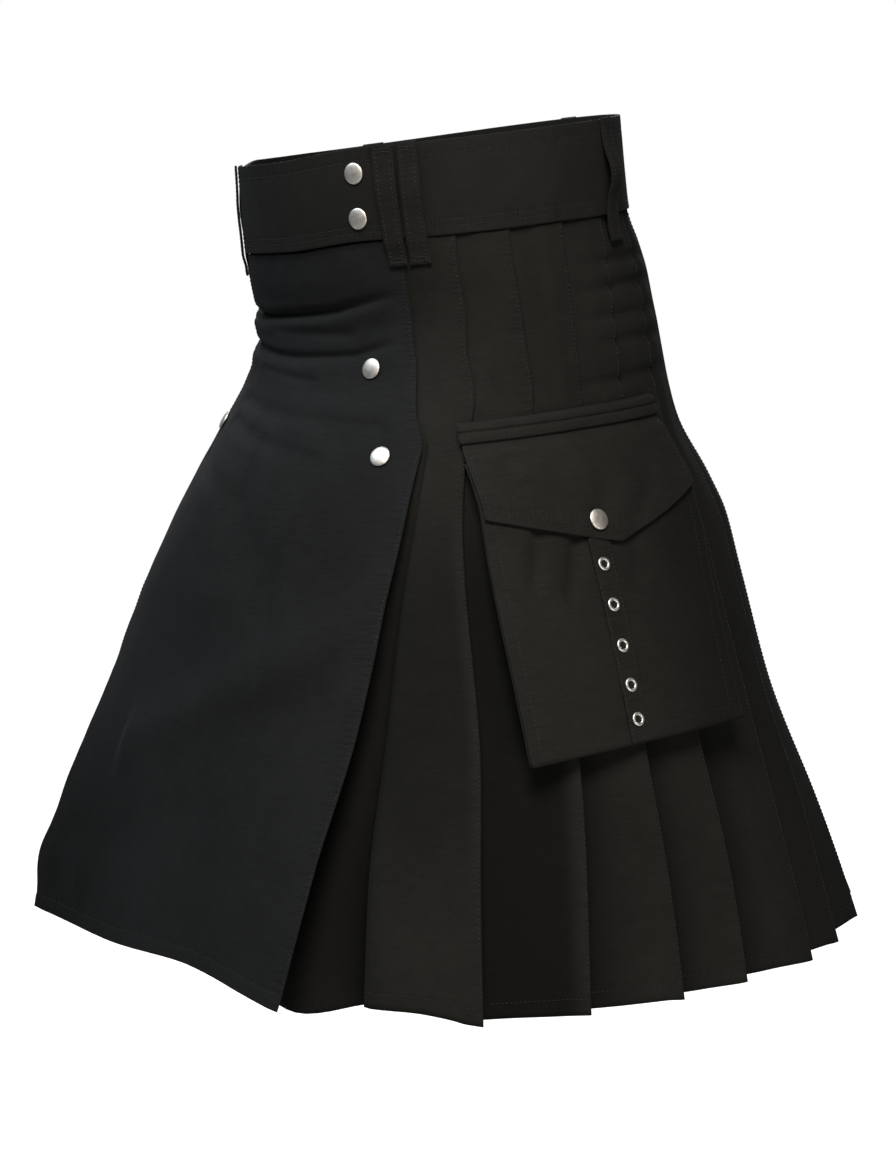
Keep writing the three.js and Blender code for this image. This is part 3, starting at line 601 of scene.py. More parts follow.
def seam_pucker_group():
    """Small puckers that a row of stitches draws into the cloth, square to the row."""
    group, given, result = add_group(
        "seam pucker", [("Cloth", "NodeSocketVector", None), ("Sewn", "NodeSocketVector", None)],
        [("Height", "NodeSocketFloat")])
    cloth = given.outputs["Cloth"]
    parts = group.nodes.new("ShaderNodeSeparateXYZ")
    group.links.new(given.outputs["Sewn"], parts.inputs[0])
    short_down = add_noise(group, add_stretch(group, cloth, (60, 310, 1)), 1.0, 2.0)
    short_round = add_noise(group, add_stretch(group, cloth, (310, 60, 1)), 1.0, 2.0)
    downwards = add_math(group, "SUBTRACT", short_down, 0.5)
    roundwards = add_math(group, "SUBTRACT", short_round, 0.5)
    down_seam = add_math(group, "MULTIPLY", downwards, parts.outputs[0])
    round_seam = add_math(group, "MULTIPLY", roundwards, parts.outputs[1])
    group.links.new(add_math(group, "ADD", down_seam, round_seam), result.inputs["Height"])
    return group


def metal_wear_group():
    """Patina and fine scratches on a small metal fitting, from its place on the piece."""
    group, given, result = add_group(
        "metal wear", [("Place", "NodeSocketVector", None)],
        [("Patina", "NodeSocketFloat"), ("Height", "NodeSocketFloat")])
    cloudy = add_noise(group, given.outputs["Place"], 330.0, 4.0, 0.6)
    scratch = add_noise(group, add_stretch(group, given.outputs["Place"], (900, 5200, 2100)), 1.0, 3.0, 0.7)
    group.links.new(add_range(group, cloudy, 0.35, 0.7), result.inputs["Patina"])
    group.links.new(scratch, result.inputs["Height"])
    return group


def colour_mix(tree, factor, dark, light):
    node = tree.nodes.new("ShaderNodeMix")
    node.data_type = "RGBA"
    tree.links.new(factor, node.inputs["Factor"])
    node.inputs["A"].default_value = (*dark, 1)
    if isinstance(light, tuple):
        node.inputs["B"].default_value = (*light, 1)
    else:
        tree.links.new(light, node.inputs["B"])
    return node


# How high a row of stitches puckers the cloth beside it
PUCKER_HEIGHT = 1.2


def shade(colour, by):
    return tuple(channel * by for channel in colour)


def add_own_group(tree, name, **linked):
    node = tree.nodes.new("ShaderNodeGroup")
    node.node_tree = bpy.data.node_groups[name]
    for socket, value in linked.items():
        tree.links.new(value, node.inputs[socket])
    return node


def add_map(tree, name):
    node = tree.nodes.new("ShaderNodeUVMap")
    node.uv_map = name
    return node.outputs[0]


def cloth_material(name, colour, slub=1.0, weave_height=0.12, sheen=0.012):
    """Matt black cotton drill: uneven threads, faded patches, puckered seams, a slight sheen, and painted
    shade from the cloth's shade map.
    """
    material = bpy.data.materials.new(name)
    material.use_nodes = True
    tree = material.node_tree
    shader = tree.nodes["Principled BSDF"]
    coordinates = tree.nodes.new("ShaderNodeTexCoord")
    cloth = add_map(tree, "cloth")
    weave = add_own_group(tree, "drill weave", Cloth=cloth)
    weave.inputs["Slub"].default_value = slub
    wear = add_own_group(tree, "worn black", Place=coordinates.outputs["Object"])
    pucker = add_own_group(tree, "seam pucker", Cloth=cloth, Sewn=add_map(tree, "sewn"))
    threads = colour_mix(tree, weave.outputs["Tone"], shade(colour, 0.62), shade(colour, 1.35))
    faded = colour_mix(tree, wear.outputs["Faded"], shade(colour, 0.62), shade(colour, 1.42))
    blend = tree.nodes.new("ShaderNodeMix")
    blend.data_type = "RGBA"
    blend.inputs["Factor"].default_value = 0.4
    tree.links.new(threads.outputs["Result"], blend.inputs["A"])
    tree.links.new(faded.outputs["Result"], blend.inputs["B"])
    # Painted shade: the cloth's shade map mixes its colour down to a fifth of it, in folds, recesses and
    # places turned from the light
    painted_shade_map = tree.nodes.new("ShaderNodeSeparateXYZ")
    tree.links.new(add_map(tree, "painted_shade_map"), painted_shade_map.inputs[0])
    black = colour_mix(tree, painted_shade_map.outputs[0], (0, 0, 0), shade(colour, 0.2))
    tree.links.new(blend.outputs["Result"], black.inputs["A"])
    tree.links.new(black.outputs["Result"], shader.inputs["Base Color"])
    shader.inputs["Specular IOR Level"].default_value = 0.08
    rough = add_range(tree, weave.outputs["Tone"], 0.0, 1.0, 0.92, 0.74)
    tree.links.new(rough, shader.inputs["Roughness"])
    relief = tree.nodes.new("ShaderNodeBump")
    relief.inputs["Strength"].default_value = 1.0
    relief.inputs["Distance"].default_value = 1.0 * MM
    woven = add_math(tree, "MULTIPLY", weave.outputs["Height"], weave_height)
    puckered = add_math(tree, "MULTIPLY", pucker.outputs["Height"], PUCKER_HEIGHT)
    tree.links.new(add_math(tree, "ADD", woven, puckered), relief.inputs["Height"])
    tree.links.new(relief.outputs["Normal"], shader.inputs["Normal"])
    shader.inputs["Sheen Weight"].default_value = sheen
    shader.inputs["Sheen Roughness"].default_value = 0.45
    shader.inputs["Sheen Tint"].default_value = (0.85, 0.9, 1.0, 1)
    return material


def metal_material(name, colour, dull, bright, roughness):
    """Plated metal with cloudy patina and fine scratches."""
    material = bpy.data.materials.new(name)
    material.use_nodes = True
    tree = material.node_tree
    shader = tree.nodes["Principled BSDF"]
    coordinates = tree.nodes.new("ShaderNodeTexCoord")
    wear = add_own_group(tree, "metal wear", Place=coordinates.outputs["Object"])
    plated = colour_mix(tree, wear.outputs["Patina"], shade(colour, dull), shade(colour, bright))
    tree.links.new(plated.outputs["Result"], shader.inputs["Base Color"])
    rough = add_range(tree, wear.outputs["Patina"], 0.0, 1.0, roughness + 0.12, roughness - 0.06)
    tree.links.new(rough, shader.inputs["Roughness"])
    relief = tree.nodes.new("ShaderNodeBump")
    relief.inputs["Strength"].default_value = 0.12
    relief.inputs["Distance"].default_value = 0.1 * MM
    tree.links.new(wear.outputs["Height"], relief.inputs["Height"])
    tree.links.new(relief.outputs["Normal"], shader.inputs["Normal"])
    shader.inputs["Metallic"].default_value = 1.0
    return material


def thread_material(name, colour):
    """Black sewing thread with the light and dark of its twist."""
    material = bpy.data.materials.new(name)
    material.use_nodes = True
    tree = material.node_tree
    shader = tree.nodes["Principled BSDF"]
    coordinates = tree.nodes.new("ShaderNodeTexCoord")
    twist = add_noise(tree, coordinates.outputs["Object"], 1400.0, 2.0)
    tone = colour_mix(tree, add_range(tree, twist, 0.3, 0.7), shade(colour, 0.7), shade(colour, 1.3))
    tree.links.new(tone.outputs["Result"], shader.inputs["Base Color"])
    tree.links.new(add_range(tree, twist, 0.3, 0.7, 0.5, 0.7), shader.inputs["Roughness"])
    shader.inputs["Specular IOR Level"].default_value = 0.4
    return material


def floor_material(colour):
    """A pale studio floor, lit from within where the camera sees it."""
    material = bpy.data.materials.new("studio_floor")
    material.use_nodes = True
    tree = material.node_tree
    shader = tree.nodes["Principled BSDF"]
    coordinates = tree.nodes.new("ShaderNodeTexCoord")
    path = tree.nodes.new("ShaderNodeLightPath")
    grain = add_noise(tree, coordinates.outputs["Object"], 6.0, 3.0)
    tone = colour_mix(tree, grain, shade(colour, 0.94), colour)
    tree.links.new(tone.outputs["Result"], shader.inputs["Base Color"])
    tree.links.new(path.outputs["Is Camera Ray"], shader.inputs["Emission Strength"])
    shader.inputs["Emission Color"].default_value = (1, 1, 1, 1)
    shader.inputs["Roughness"].default_value = 0.95
    shader.inputs["Specular IOR Level"].default_value = 0.0
    return material


# Sewing

def stitch_template():
    """One stitch along +X, one unit long, wide and high, lying on z = 0."""
    bm = bmesh.new()
    bmesh.ops.create_icosphere(bm, subdivisions=1, radius=0.5)
    points = np.array([vertex.co[:] for vertex in bm.verts])
    faces = np.array([[vertex.index for vertex in face.verts] for face in bm.faces])
    bm.free()
    return points, faces


class Sewing:
    """Rows of stitches, gathered from all over a piece and joined into one mesh."""

    def __init__(self, cut):
        self.cut = cut
        self.frames = []

    def run(self, spot, count=60, pitch=None):
        """Stitches along spot(share), which gives a place on the cloth and the way out of it."""
        pitch = (pitch or self.cut.stitch_pitch)
        shares = spread(0, 1, count)
        spots = [spot(share) for share in shares]
        places = np.array([place[:] for place, _ in spots])
        ways = np.array([way[:] for _, way in spots])
        lengths = np.concatenate([[0], np.cumsum(np.linalg.norm(np.diff(places, axis=0), axis=1))])
        number = max(int(lengths[-1] / pitch), 1)
        at = (np.arange(number) + 0.5) * lengths[-1] / number
        for distance in at:
            here = np.array([np.interp(distance, lengths, places[:, k]) for k in range(3)])
            ahead = np.array([np.interp(distance + 0.0005, lengths, places[:, k]) for k in range(3)])
            behind = np.array([np.interp(distance - 0.0005, lengths, places[:, k]) for k in range(3)])
            away = np.array([np.interp(distance, lengths, ways[:, k]) for k in range(3)])
            self.frames.append((here, ahead - behind, away))

    def piece(self, name):
        points, faces = stitch_template()
        size = np.array([self.cut.stitch_pitch * 0.78, self.cut.thread_width, self.cut.thread_width * 0.9])
        vertices, triangles = [], []
        for number, (here, forward, away) in enumerate(self.frames):
            forward = forward / max(np.linalg.norm(forward), 1e-9)
            sideways = np.cross(away, forward)
            sideways = sideways / max(np.linalg.norm(sideways), 1e-9)
            upwards = np.cross(forward, sideways)
            lean = 0.10 * ripple(number * 0.731, 4.2, 0.5)
            forward = forward + sideways * lean
            vertices.append(here + (points * size) @ np.array([forward, sideways, upwards]))
            triangles.append(faces + number * len(points))
        mesh = bpy.data.meshes.new(name)
        mesh.from_pydata(np.concatenate(vertices).tolist(), [], np.concatenate(triangles).tolist())
        mesh.polygons.foreach_set("use_smooth", [True] * len(mesh.polygons))
        piece = bpy.data.objects.new(name, mesh)
        bpy.context.scene.collection.objects.link(piece)
        mesh.materials.append(bpy.data.materials["thread"])
        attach(piece, BODY)
        return piece


def facing(point_at, across, down, face, side=1):
    """A place on a piece's outer face, and the way out of it there."""
    place = mirrored_point(point_at(across, down, face), side)
    above = mirrored_point(point_at(across, down, face + 1), side)
    return place, (above - place).normalized()


# Properties

class KiltCut(bpy.types.PropertyGroup):
    """Sizes of the cloth and its sewing"""

    cloth: bpy.props.FloatProperty(
        name="Cloth", description="Thickness of the drill with its turned edges",
        default=0.8 * MM, unit="LENGTH")
    stitch_pitch: bpy.props.FloatProperty(
        name="Stitch pitch", description="Distance from one stitch to the next",
        default=3.1 * MM, unit="LENGTH")
    thread_width: bpy.props.FloatProperty(
        name="Thread", description="Thickness of the sewing thread", default=0.7 * MM, unit="LENGTH")


class KiltFinish(bpy.types.PropertyGroup):
    """Colours of the kilt's cloth, thread and fittings"""

    # The drill is a cool copy of the black cotton and the side a warmer, slightly lighter copy of it: painted
    # cool light on the apron and painted warm light on the pleats and pockets
    drill: bpy.props.FloatVectorProperty(
        name="Drill", description="Colour of the black cotton", subtype="COLOR",
        default=(0.0108, 0.0112, 0.0117))
    side: bpy.props.FloatVectorProperty(
        name="Side", description="Colour of the more faded pleats and pockets", subtype="COLOR",
        default=(0.0120, 0.0116, 0.0101))
    band: bpy.props.FloatVectorProperty(
        name="Band", description="Colour of the waistband and belt loops", subtype="COLOR",
        default=(0.0112, 0.0108, 0.0099))
    thread: bpy.props.FloatVectorProperty(
        name="Thread", description="Colour of the sewing thread", subtype="COLOR",
        default=(0.0062, 0.0060, 0.0058))
    snap: bpy.props.FloatVectorProperty(
        name="Snap", description="Colour of the satin nickel caps", subtype="COLOR",
        default=(0.84, 0.80, 0.74))
    eyelet: bpy.props.FloatVectorProperty(
        name="Eyelet", description="Colour of the bright nickel eyelets", subtype="COLOR",
        default=(0.82, 0.80, 0.76))


class KiltStudio(bpy.types.PropertyGroup):
    """Camera, floor and light"""

    lens: bpy.props.FloatProperty(
        name="Lens", description="Focal length of the camera on a 36 mm long side",
        default=74.75, unit="CAMERA")
    floor_height: bpy.props.FloatProperty(
        name="Floor", description="Height of the floor below the waist", default=-1.05, unit="LENGTH")
    key: bpy.props.FloatProperty(
        name="Key light", description="Power of the warm light above the camera", default=44.0, unit="POWER")
    fill: bpy.props.FloatProperty(
        name="Fill light", description="Power of the cool light high at the front",
        default=24.0, unit="POWER")
    low: bpy.props.FloatProperty(
        name="Low light", description="Power of the light low at the side", default=8.0, unit="POWER")
    back: bpy.props.FloatProperty(
        name="Back light", description="Power of the light high behind the kilt", default=60.0, unit="POWER")
    ambient: bpy.props.FloatProperty(
        name="Ambient", description="Strength of the white light from all round", default=0.05)
    floor: bpy.props.FloatVectorProperty(
        name="Floor colour", description="Colour of the pale floor", subtype="COLOR",
        default=(0.4, 0.4, 0.4))


# Operators

class KILT_OT_materials(bpy.types.Operator):
    """Make the cloth, thread and metal finishes"""
    bl_idname = "kilt.materials"
    bl_label = "Finishes"

    def execute(self, context):
        finish = context.scene.kilt_finish
        drill_weave_group()
        worn_black_group()
        seam_pucker_group()
        metal_wear_group()
        # The apron takes the cool copy and the pleats and pockets the warm one: painted light
        cloth_material("apron_drill", tuple(finish.drill))
        cloth_material("pleat_drill", tuple(finish.side), slub=0.8)
        cloth_material("pocket_drill", tuple(finish.side), slub=1.2)
        cloth_material("band_drill", tuple(finish.band), slub=0.7)
        thread_material("thread", tuple(finish.thread))
        metal_material("snap_metal", tuple(finish.snap), 0.75, 1.1, 0.45)
        metal_material("eyelet_metal", tuple(finish.eyelet), 0.9, 1.15, 0.42)
        return {"FINISHED"}


BAND_STITCHES = {
    "waistband_front": (10, 56, 60.5),
    "waistband_back": (10, 56, 60.5),
    "waistband_under": (10, 60.5),
}


class KILT_OT_waistbands(bpy.types.Operator):
    """Make the three bands that close round the waist"""
    bl_idname = "kilt.waistbands"
    bl_label = "Waistbands"

    def execute(self, context):
        cut = context.scene.kilt_cut
        rows = [0, 1.5, 5, 8.5, 10, 11.5, 18, 26, 34, 42, 50, 54.5, 56, 57.5, 59, 60.5, 62, 64.5, 66]
        for number, (name, band) in enumerate(BANDS.items()):
            count = round((band["to"] - band["from"]) / 1.5) + 1
            sewn = BAND_STITCHES[name]

            def relief(angle, drop):
                groove = sum(near(drop, line, 1.3) for line in sewn)
                pucker = 0.22 * ripple(angle * 0.9, drop * 0.04, number + 0.5)
                return -0.22 * groove + pucker + 0.35 * ripple(angle * 0.14, drop * 0.03, number + 7.5)

            def place(angle, drop, out=0.0):
                return worn_point(angle, drop, band["middle"] + out + relief(angle, drop))

            def seams(angle, drop):
                return 0.0, max(near(drop, line, 3.5) for line in sewn)

            bm = cloth_grid(spread(band["from"], band["to"], count), rows, place, round_cut, seams=seams)
            piece = finished(name, bm, "band_drill")
            thicken(piece, band["wall"], 0.45)
            girth = sum((worn_point(a + 1, 33) - worn_point(a, 33)).length
                        for a in range(round(band["from"]), round(band["to"])))
            sewing = Sewing(cut)
            face = band["wall"] / 2 + 0.05
            for drop in sewn:
                sewing.run(lambda share: facing(
                    place, mix(band["from"] + 0.6, band["to"] - 0.6, share), drop, face), count)
            for angle in (band["from"] + 0.9, band["to"] - 0.9):
                sewing.run(lambda share: facing(place, angle, mix(3, 63, share), face), 12)
            sewing.piece(name + "_stitches")
        return {"FINISHED"}


class KILT_OT_aprons(bpy.types.Operator):
    """Make the front apron and the plain apron under it"""
    bl_idname = "kilt.aprons"
    bl_label = "Aprons"

    def execute(self, context):
        cut = context.scene.kilt_cut
        top = BAND_HEIGHT + 0.4
        hem_rows = [566, 570, 573, 575.5, 577, 578.5, 581, 583.5, 586, HEM_DROP]
        downs = [*spread(top, 236, 96), *spread(240, 562, 74), *hem_rows]
        acrosses = [-1, -0.994, -0.985, *spread(-0.975, 0.975, 94), 0.985, 0.994, 1]

        def flat_cut(across, drop):
            edge = APRON.read("edge", drop)
            return (across * edge * mm_per_degree(20, drop) * MM, -drop * MM)

        def relief(across, drop):
            soft = 2.4 * ease(drop, 200, 500) * ripple(across * 1.9, drop * 0.006, 2.5)
            small = 0.5 * ripple(across * 6.0, drop * 0.05, 9.5)
            pucker = 0.35 * ripple(across * 60, 3.5, drop * 0.02) * near(drop, 577, 9)
            hem = 0.35 * ease(drop, 576, 578) - 0.3 * near(drop, 577, 1.4)
            side = (0.35 * ripple(across, drop * 0.11, 5.5) - 0.15) * near(abs(across), 1, 0.03)
            turned_in = 0.7 * near(drop, 68, 1.3)
            return soft + small + pucker + hem + side + turned_in

        def seams(across, drop):
            return near(abs(across), 0.97, 0.05), max(near(drop, 577, 7), near(drop, 70, 4))

        def place(across, drop, out=0.0):
            return creased_apron_point(across, drop, APRON_OUT + out + relief(across, drop))

        # Painted shade on the apron: darker at its low corner on the wearer's right and in a soft patch on
        # the wearer's left near drop 262, where less light falls
        def painted_shade(across, drop):
            low_corner = 0.6 * ease(drop, 380, 540) * ease(-across, 0.0, 0.8)
            hip = 0.3 * near(across, 0.75, 0.35) * near(drop, 262, 90)
            return low_corner + hip

        bm = cloth_grid(acrosses, downs, place, flat_cut, seams=seams, painted_shade=painted_shade)
        apron = finished("front_apron", bm, "apron_drill")
        thicken(apron, cut.cloth / MM)

        def under_place(across, drop, out=0.0):
            settle = 11 * ease(drop, BAND_HEIGHT, 112)
            recess = 1.1 * OPENING.read("recess", drop)
            return apron_point(across, drop, BANDS["waistband_under"]["middle"] - settle - recess + out)

        wide = [share * UNDER_APRON_REACH for share in spread(-1, 1, 41)]
        bm = cloth_grid(wide, [*spread(top, 560, 60), *hem_rows[1:]], under_place, flat_cut)
        under = finished("under_apron", bm, "apron_drill")
        thicken(under, cut.cloth / MM)

        sewing = Sewing(cut)
        face = cut.cloth / MM / 2 + 0.05
        sewing.run(lambda share: facing(place, mix(-0.99, 0.99, share), 577, face), 160)
        for side in (-1, 1):
            def down_side(share):
                drop = mix(top + 1, 576, share)
                edge = APRON.read("edge", drop) * mm_per_degree(APRON.read("edge", drop), drop)
                return facing(place, side * (1 - 2.4 / edge), drop, face)
            sewing.run(down_side, 150)
        sewing.piece("apron_stitches")
        return {"FINISHED"}


class KILT_OT_pleats(bpy.types.Operator):
    """Make the pleated cloth of both sides, from under the apron to the middle of the back"""
    bl_idname = "kilt.pleats"
    bl_label = "Pleats"

    def execute(self, context):
        cut = context.scene.kilt_cut
        top = BAND_HEIGHT + 0.4
        downs = [*spread(top, 200, 56), *spread(204.5, 562, 76), 566, 571, 575, 577, 579, 583, HEM_DROP]
        columns = list(range(len(pleat_row(top, 1))))
        lengths = {}
        for drop in downs:
            points = pleat_row(drop, 1)
            lengths[drop] = np.cumsum([0.0] + [(b - a).length for a, b in zip(points, points[1:])])

        def place(column, drop):
            point = pleat_row(drop, side)[column].copy()
            point.z += 0.8 * MM * ripple(column * 0.13, 8.5, 1.5) * ease(drop, 400, HEM_DROP)
            return point

        def cloth_cut(column, drop):
            return float(lengths[drop][column]), -drop * MM

        def seams(column, drop):
            at = (column - FRONT_COLUMNS) % PLEAT_COLUMNS if column >= FRONT_COLUMNS else -9
            return near(at, TOP_COLUMNS - 1, 2) * mix(1, 0.6, ease(drop, FELL_END, 230)), near(drop, 577, 7)

        # Painted shade on the pleats where they open: inside the apron's opening, on the first panel, beside
        # and after the first fold edge, behind each later fold edge, and round the back away from the lights
        def painted_shade(column, drop):
            opened = ease(drop, 205, 330)
            first = FRONT_COLUMNS + PLEAT_COLUMNS
            inside = 0.45 * (1 - ease(column, 10, 14)) + 0.5 * near(column, 11, 2)
            panel = ease(column, 13, 14) * (1 - ease(column, FRONT_COLUMNS + 3, FRONT_COLUMNS + 7))
            panel *= 0.5 * (1 - ease(drop, 400, 560))
            after = 0.8 * ease(column, first - 12, first - 10) * (1 - ease(column, first, first + 7))
            behind_edge = 0.0
            if column > first + TOP_COLUMNS:
                behind_edge = 0.7 * near((column - FRONT_COLUMNS) % PLEAT_COLUMNS, PLEAT_COLUMNS - 9, 4)
            round_back = 0.45 * ease(column, first + 2.6 * PLEAT_COLUMNS, first + 3.6 * PLEAT_COLUMNS)
            return min((inside + panel + after) * opened + max(behind_edge * opened, round_back), 1.0)

        for name, side in (("left", 1), ("right", -1)):
            bm = cloth_grid(columns, downs, place, cloth_cut, side, seams, painted_shade)
            piece = finished("pleats_" + name, bm, "pleat_drill")
            thicken(piece, cut.cloth / MM)
            self.sew(name, side, cut)
        return {"FINISHED"}

    def sew(self, name, side, cut):
        """Rows down every fell and fold edge, along the hem, and the bar over the apron's opening."""
        sewing = Sewing(cut)
        face = cut.cloth / MM / 2 + 0.1
        for number in range(len(PLEATS)):
            first = FRONT_COLUMNS + PLEAT_COLUMNS * number
            edge = first + TOP_COLUMNS - 0.9
            sewing.run(lambda share: pleat_facing(edge, mix(69, FELL_END, share), face, side), 40)
            sewing.run(lambda share: pleat_facing(edge + 0.35, mix(FELL_END + 4, 574, share), face, side), 70)
            over = first + TOP_COLUMNS - 1
            behind = first - 9 if number else 14
            sewing.run(lambda share: pleat_facing(mix(behind, over, share), 577, face, side), 20)
        for lower in (0, 1.6):
            def bar(share):
                return pleat_facing(mix(14.5, 26, share), mix(221, 217, share) + lower, face, side)
            sewing.run(bar, 12, 1.5 * MM)
        sewing.piece("pleat_stitches_" + name)


class KILT_OT_belt_loops(bpy.types.Operator):
    """Make the belt loops: a pair at each end of the apron, one behind each hip and one at the back"""
    bl_idname = "kilt.belt_loops"
    bl_label = "Belt loops"

    def execute(self, context):
        cut = context.scene.kilt_cut
        sewing = Sewing(cut)
        for loop in LOOPS:
            self.build(loop, sewing)
        sewing.piece("belt_loop_stitches")
        return {"FINISHED"}

    def build(self, loop, sewing):
        band = BANDS[loop["on"]]
        face = band["middle"] + band["wall"] / 2 + 0.4

        def place(across, drop, out=0.0):
            share = drop / LOOP_FOOT
            bow = loop["bow"] * near(drop, loop["fullest"], 16)
            rest = mix(face, loop["sewn_out"], ease(drop, BAND_HEIGHT + 1, 79)) + bow + LOOP_CLOTH / 2
            ridge = 0.35 * near(abs(across), 0.8, 0.16) + 0.15 * ripple(drop * 0.2, across * 2, loop["top"])
            angle = loop["side"] * mix(loop["top"], loop["foot"], share) + across * mix(*loop["half"], share)
            return worn_point(angle, drop, rest + ridge + out)

        def loop_cut(across, drop):
            return across * 8.5 * MM, -drop * MM

        def seams(across, drop):
            return near(abs(across), 0.62, 0.25), max(near(drop, 4, 3), near(drop, 82, 3))

        acrosses = (-1, -0.93, -0.8, -0.66, -0.5, -0.25, 0, 0.25, 0.5, 0.66, 0.8, 0.93, 1)
        drops = [-1, 0.5, 3, *spread(6, 82, 34), 84, LOOP_FOOT]
        bm = cloth_grid(acrosses, drops, place, loop_cut, seams=seams)
        piece = finished(loop["name"], bm, "band_drill")
        thicken(piece, LOOP_CLOTH, 0.5)
        over = LOOP_CLOTH / 2 + 0.05
        for across in (-0.62, 0.62):
            sewing.run(lambda t: facing(place, across, mix(1, 84, t), over), 30)
        for drop in (3, 5, 80.5, 83.5):
            sewing.run(lambda t: facing(place, mix(-0.6, 0.6, t), drop, over), 6, 1.4 * MM)


# Soft creases that hang from the flap: across at falls 240 and 300, and the falls between which they show
BAG_CREASES = [
    {"ends": (-0.52, -0.72), "falls": (230, 286), "height": -3.8},
    {"ends": (-0.13, -0.42), "falls": (234, 296), "height": -4.2},
    {"ends": (0.35, 0.22), "falls": (240, 300), "height": -2.2},
    {"ends": (0.70, 0.66), "falls": (250, 340), "height": -0.9},
]
# Slanting creases in the flap: across at its top and at its lower edge
FLAP_CREASES = [
    {"ends": (0.30, -0.02), "width": 0.09, "height": -2.8},
    {"ends": (0.86, 0.30), "width": 0.09, "height": -3.0},
    {"ends": (-0.62, -0.30), "width": 0.16, "height": 1.8},
]


def pocket_cut(across, fall):
    return (across * 0.096, -fall * MM)


class KILT_OT_pockets(bpy.types.Operator):
    """Make both cargo pockets: bag, placket, flap and the ridged strip over the flap"""
    bl_idname = "kilt.pockets"
    bl_label = "Pockets"

    def execute(self, context):
        cut = context.scene.kilt_cut
        for name, side in (("left", 1), ("right", -1)):
            sewing = Sewing(cut)
            self.bag(name, side, cut, sewing)
            self.placket(name, side, sewing)
            self.flap(name, side, sewing)
            self.strip(name, side, sewing)
            sewing.piece("pocket_stitches_" + name)
        return {"FINISHED"}

    def bag(self, name, side, cut, sewing):
        wall = cut.cloth / MM
        acrosses = [-1, -0.985, *spread(-0.96, 0.96, 40), 0.985, 1]
        falls = [*spread(POCKET_TOP, 374, 56), 377, 379, 382, 385.5, POCKET_BOTTOM]
        around = [(across, 1) for across in acrosses] + [(-across, 0) for across in acrosses]

        def relief(across, fall):
            soft = 0.9 * ripple(across * 2.1, fall * 0.02, 20.5 + side)
            small = 0.3 * ripple(across * 9, fall * 0.09, 30.5 + side)
            edge = -0.45 * near(abs(across), 0.9, 0.025) - 0.35 * near(fall, 379, 2)
            drawn = sum(crease["height"] * near(across, mix(*crease["ends"], (fall - 240) / 60), 0.07)
                        * windowed(fall, *crease["falls"]) for crease in BAG_CREASES)
            return (soft + small + drawn) * (1 - across ** 6) + edge

        def face_place(across, fall, out=0.0):
            lift = bag_face(across, fall) - wall / 2 + out
            return pocket_point(across, fall, lift + relief(across, fall))

        def place(column, fall):
            across, front = around[int(column)]
            if front:
                return face_place(across, fall)
            return pocket_point(across, fall, POCKET_SEAT + wall / 2)

        columns = list(range(len(around)))

        def seams(column, fall):
            across, front = around[int(column)]
            return front * near(abs(across), 0.92, 0.06), front * near(fall, 380, 6)

        # Painted shade: the bag darker towards its back edge, away from the light
        def painted_shade(column, fall):
            return 0.55 * ease(around[int(column)][0], 0.15, 0.9)

        def bag_cut(column, fall):
            return pocket_cut(around[int(column)][0], fall)

        bm = cloth_grid(columns, falls, place, bag_cut, side, seams, painted_shade)
        ends = [vertex for vertex in bm.verts if vertex.is_boundary]
        bmesh.ops.remove_doubles(bm, verts=ends, dist=0.01 * MM)
        piece = finished("pocket_bag_" + name, bm, "pocket_drill")
        thicken(piece, wall)
        for edge in (-0.9, 0.9):
            sewing.run(lambda t: facing(face_place, edge, mix(225, 379, t), wall / 2 + 0.05, side), 60)
        sewing.run(lambda t: facing(face_place, mix(-0.9, 0.9, t), 379, wall / 2 + 0.05, side), 60)

    def placket(self, name, side, sewing):
        half = PLACKET["half"]

        def place(across, fall, out=0.0):
            pucker = 0.8 * ripple(across * 6, fall * 0.14, 40.5 + side)
            return placket_point(across, fall, PLACKET["wall"] / 2 + out + pucker)

        acrosses = [half * share for share in spread(-1, 1, 13)]
        falls = spread(PLACKET["top"], PLACKET["bottom"], 60)
        bm = cloth_grid(acrosses, falls, place, pocket_cut, side, lambda across, fall: (1.0, 0.0))
        node = "pocket_placket_" + name
        piece = finished(node, bm, "pocket_drill")
        thicken(piece, PLACKET["wall"], 0.3)
        for edge in (-0.82 * half, 0.82 * half):
            sewing.run(lambda t: facing(place, edge, mix(246, 386, t), PLACKET["wall"] / 2 + 0.05, side), 40)
        over = PLACKET["wall"] / 2 + 0.1
        for fall in (381, 382.6, 384.2):
            sewing.run(lambda t: facing(place, mix(-0.7, 0.7, t) * half, fall, over, side), 6, 1.5 * MM)

    def flap(self, name, side, sewing):
        acrosses = [-0.985, -0.97, *spread(-0.95, 0.95, 48), 0.97, 0.985]
        shares = [0, 0.03, *spread(0.08, 0.92, 30), 0.95, 0.98, 1]

        def relief(across, share):
            soft = 0.8 * ripple(across * 2.4, share * 1.6, 50.5 + side)
            small = 0.25 * ripple(across * 11, share * 5, 60.5 + side)
            drawn = sum(crease["height"] * near(across, mix(*crease["ends"], share), crease["width"])
                        for crease in FLAP_CREASES)
            return (soft + drawn * ease(share, 0.1, 0.4)) * share * (1 - 0.6 * ease(share, 0.75, 1)) + small

        def place(across, share, out=0.0):
            return flap_point(across, share, out + relief(across, share))

        def flap_cut(across, share):
            return pocket_cut(across, mix(FLAP["top"], flap_edge(across), share))

        def seams(across, share):
            return near(abs(across), 0.95, 0.05), near(share, 0.87, 0.1)

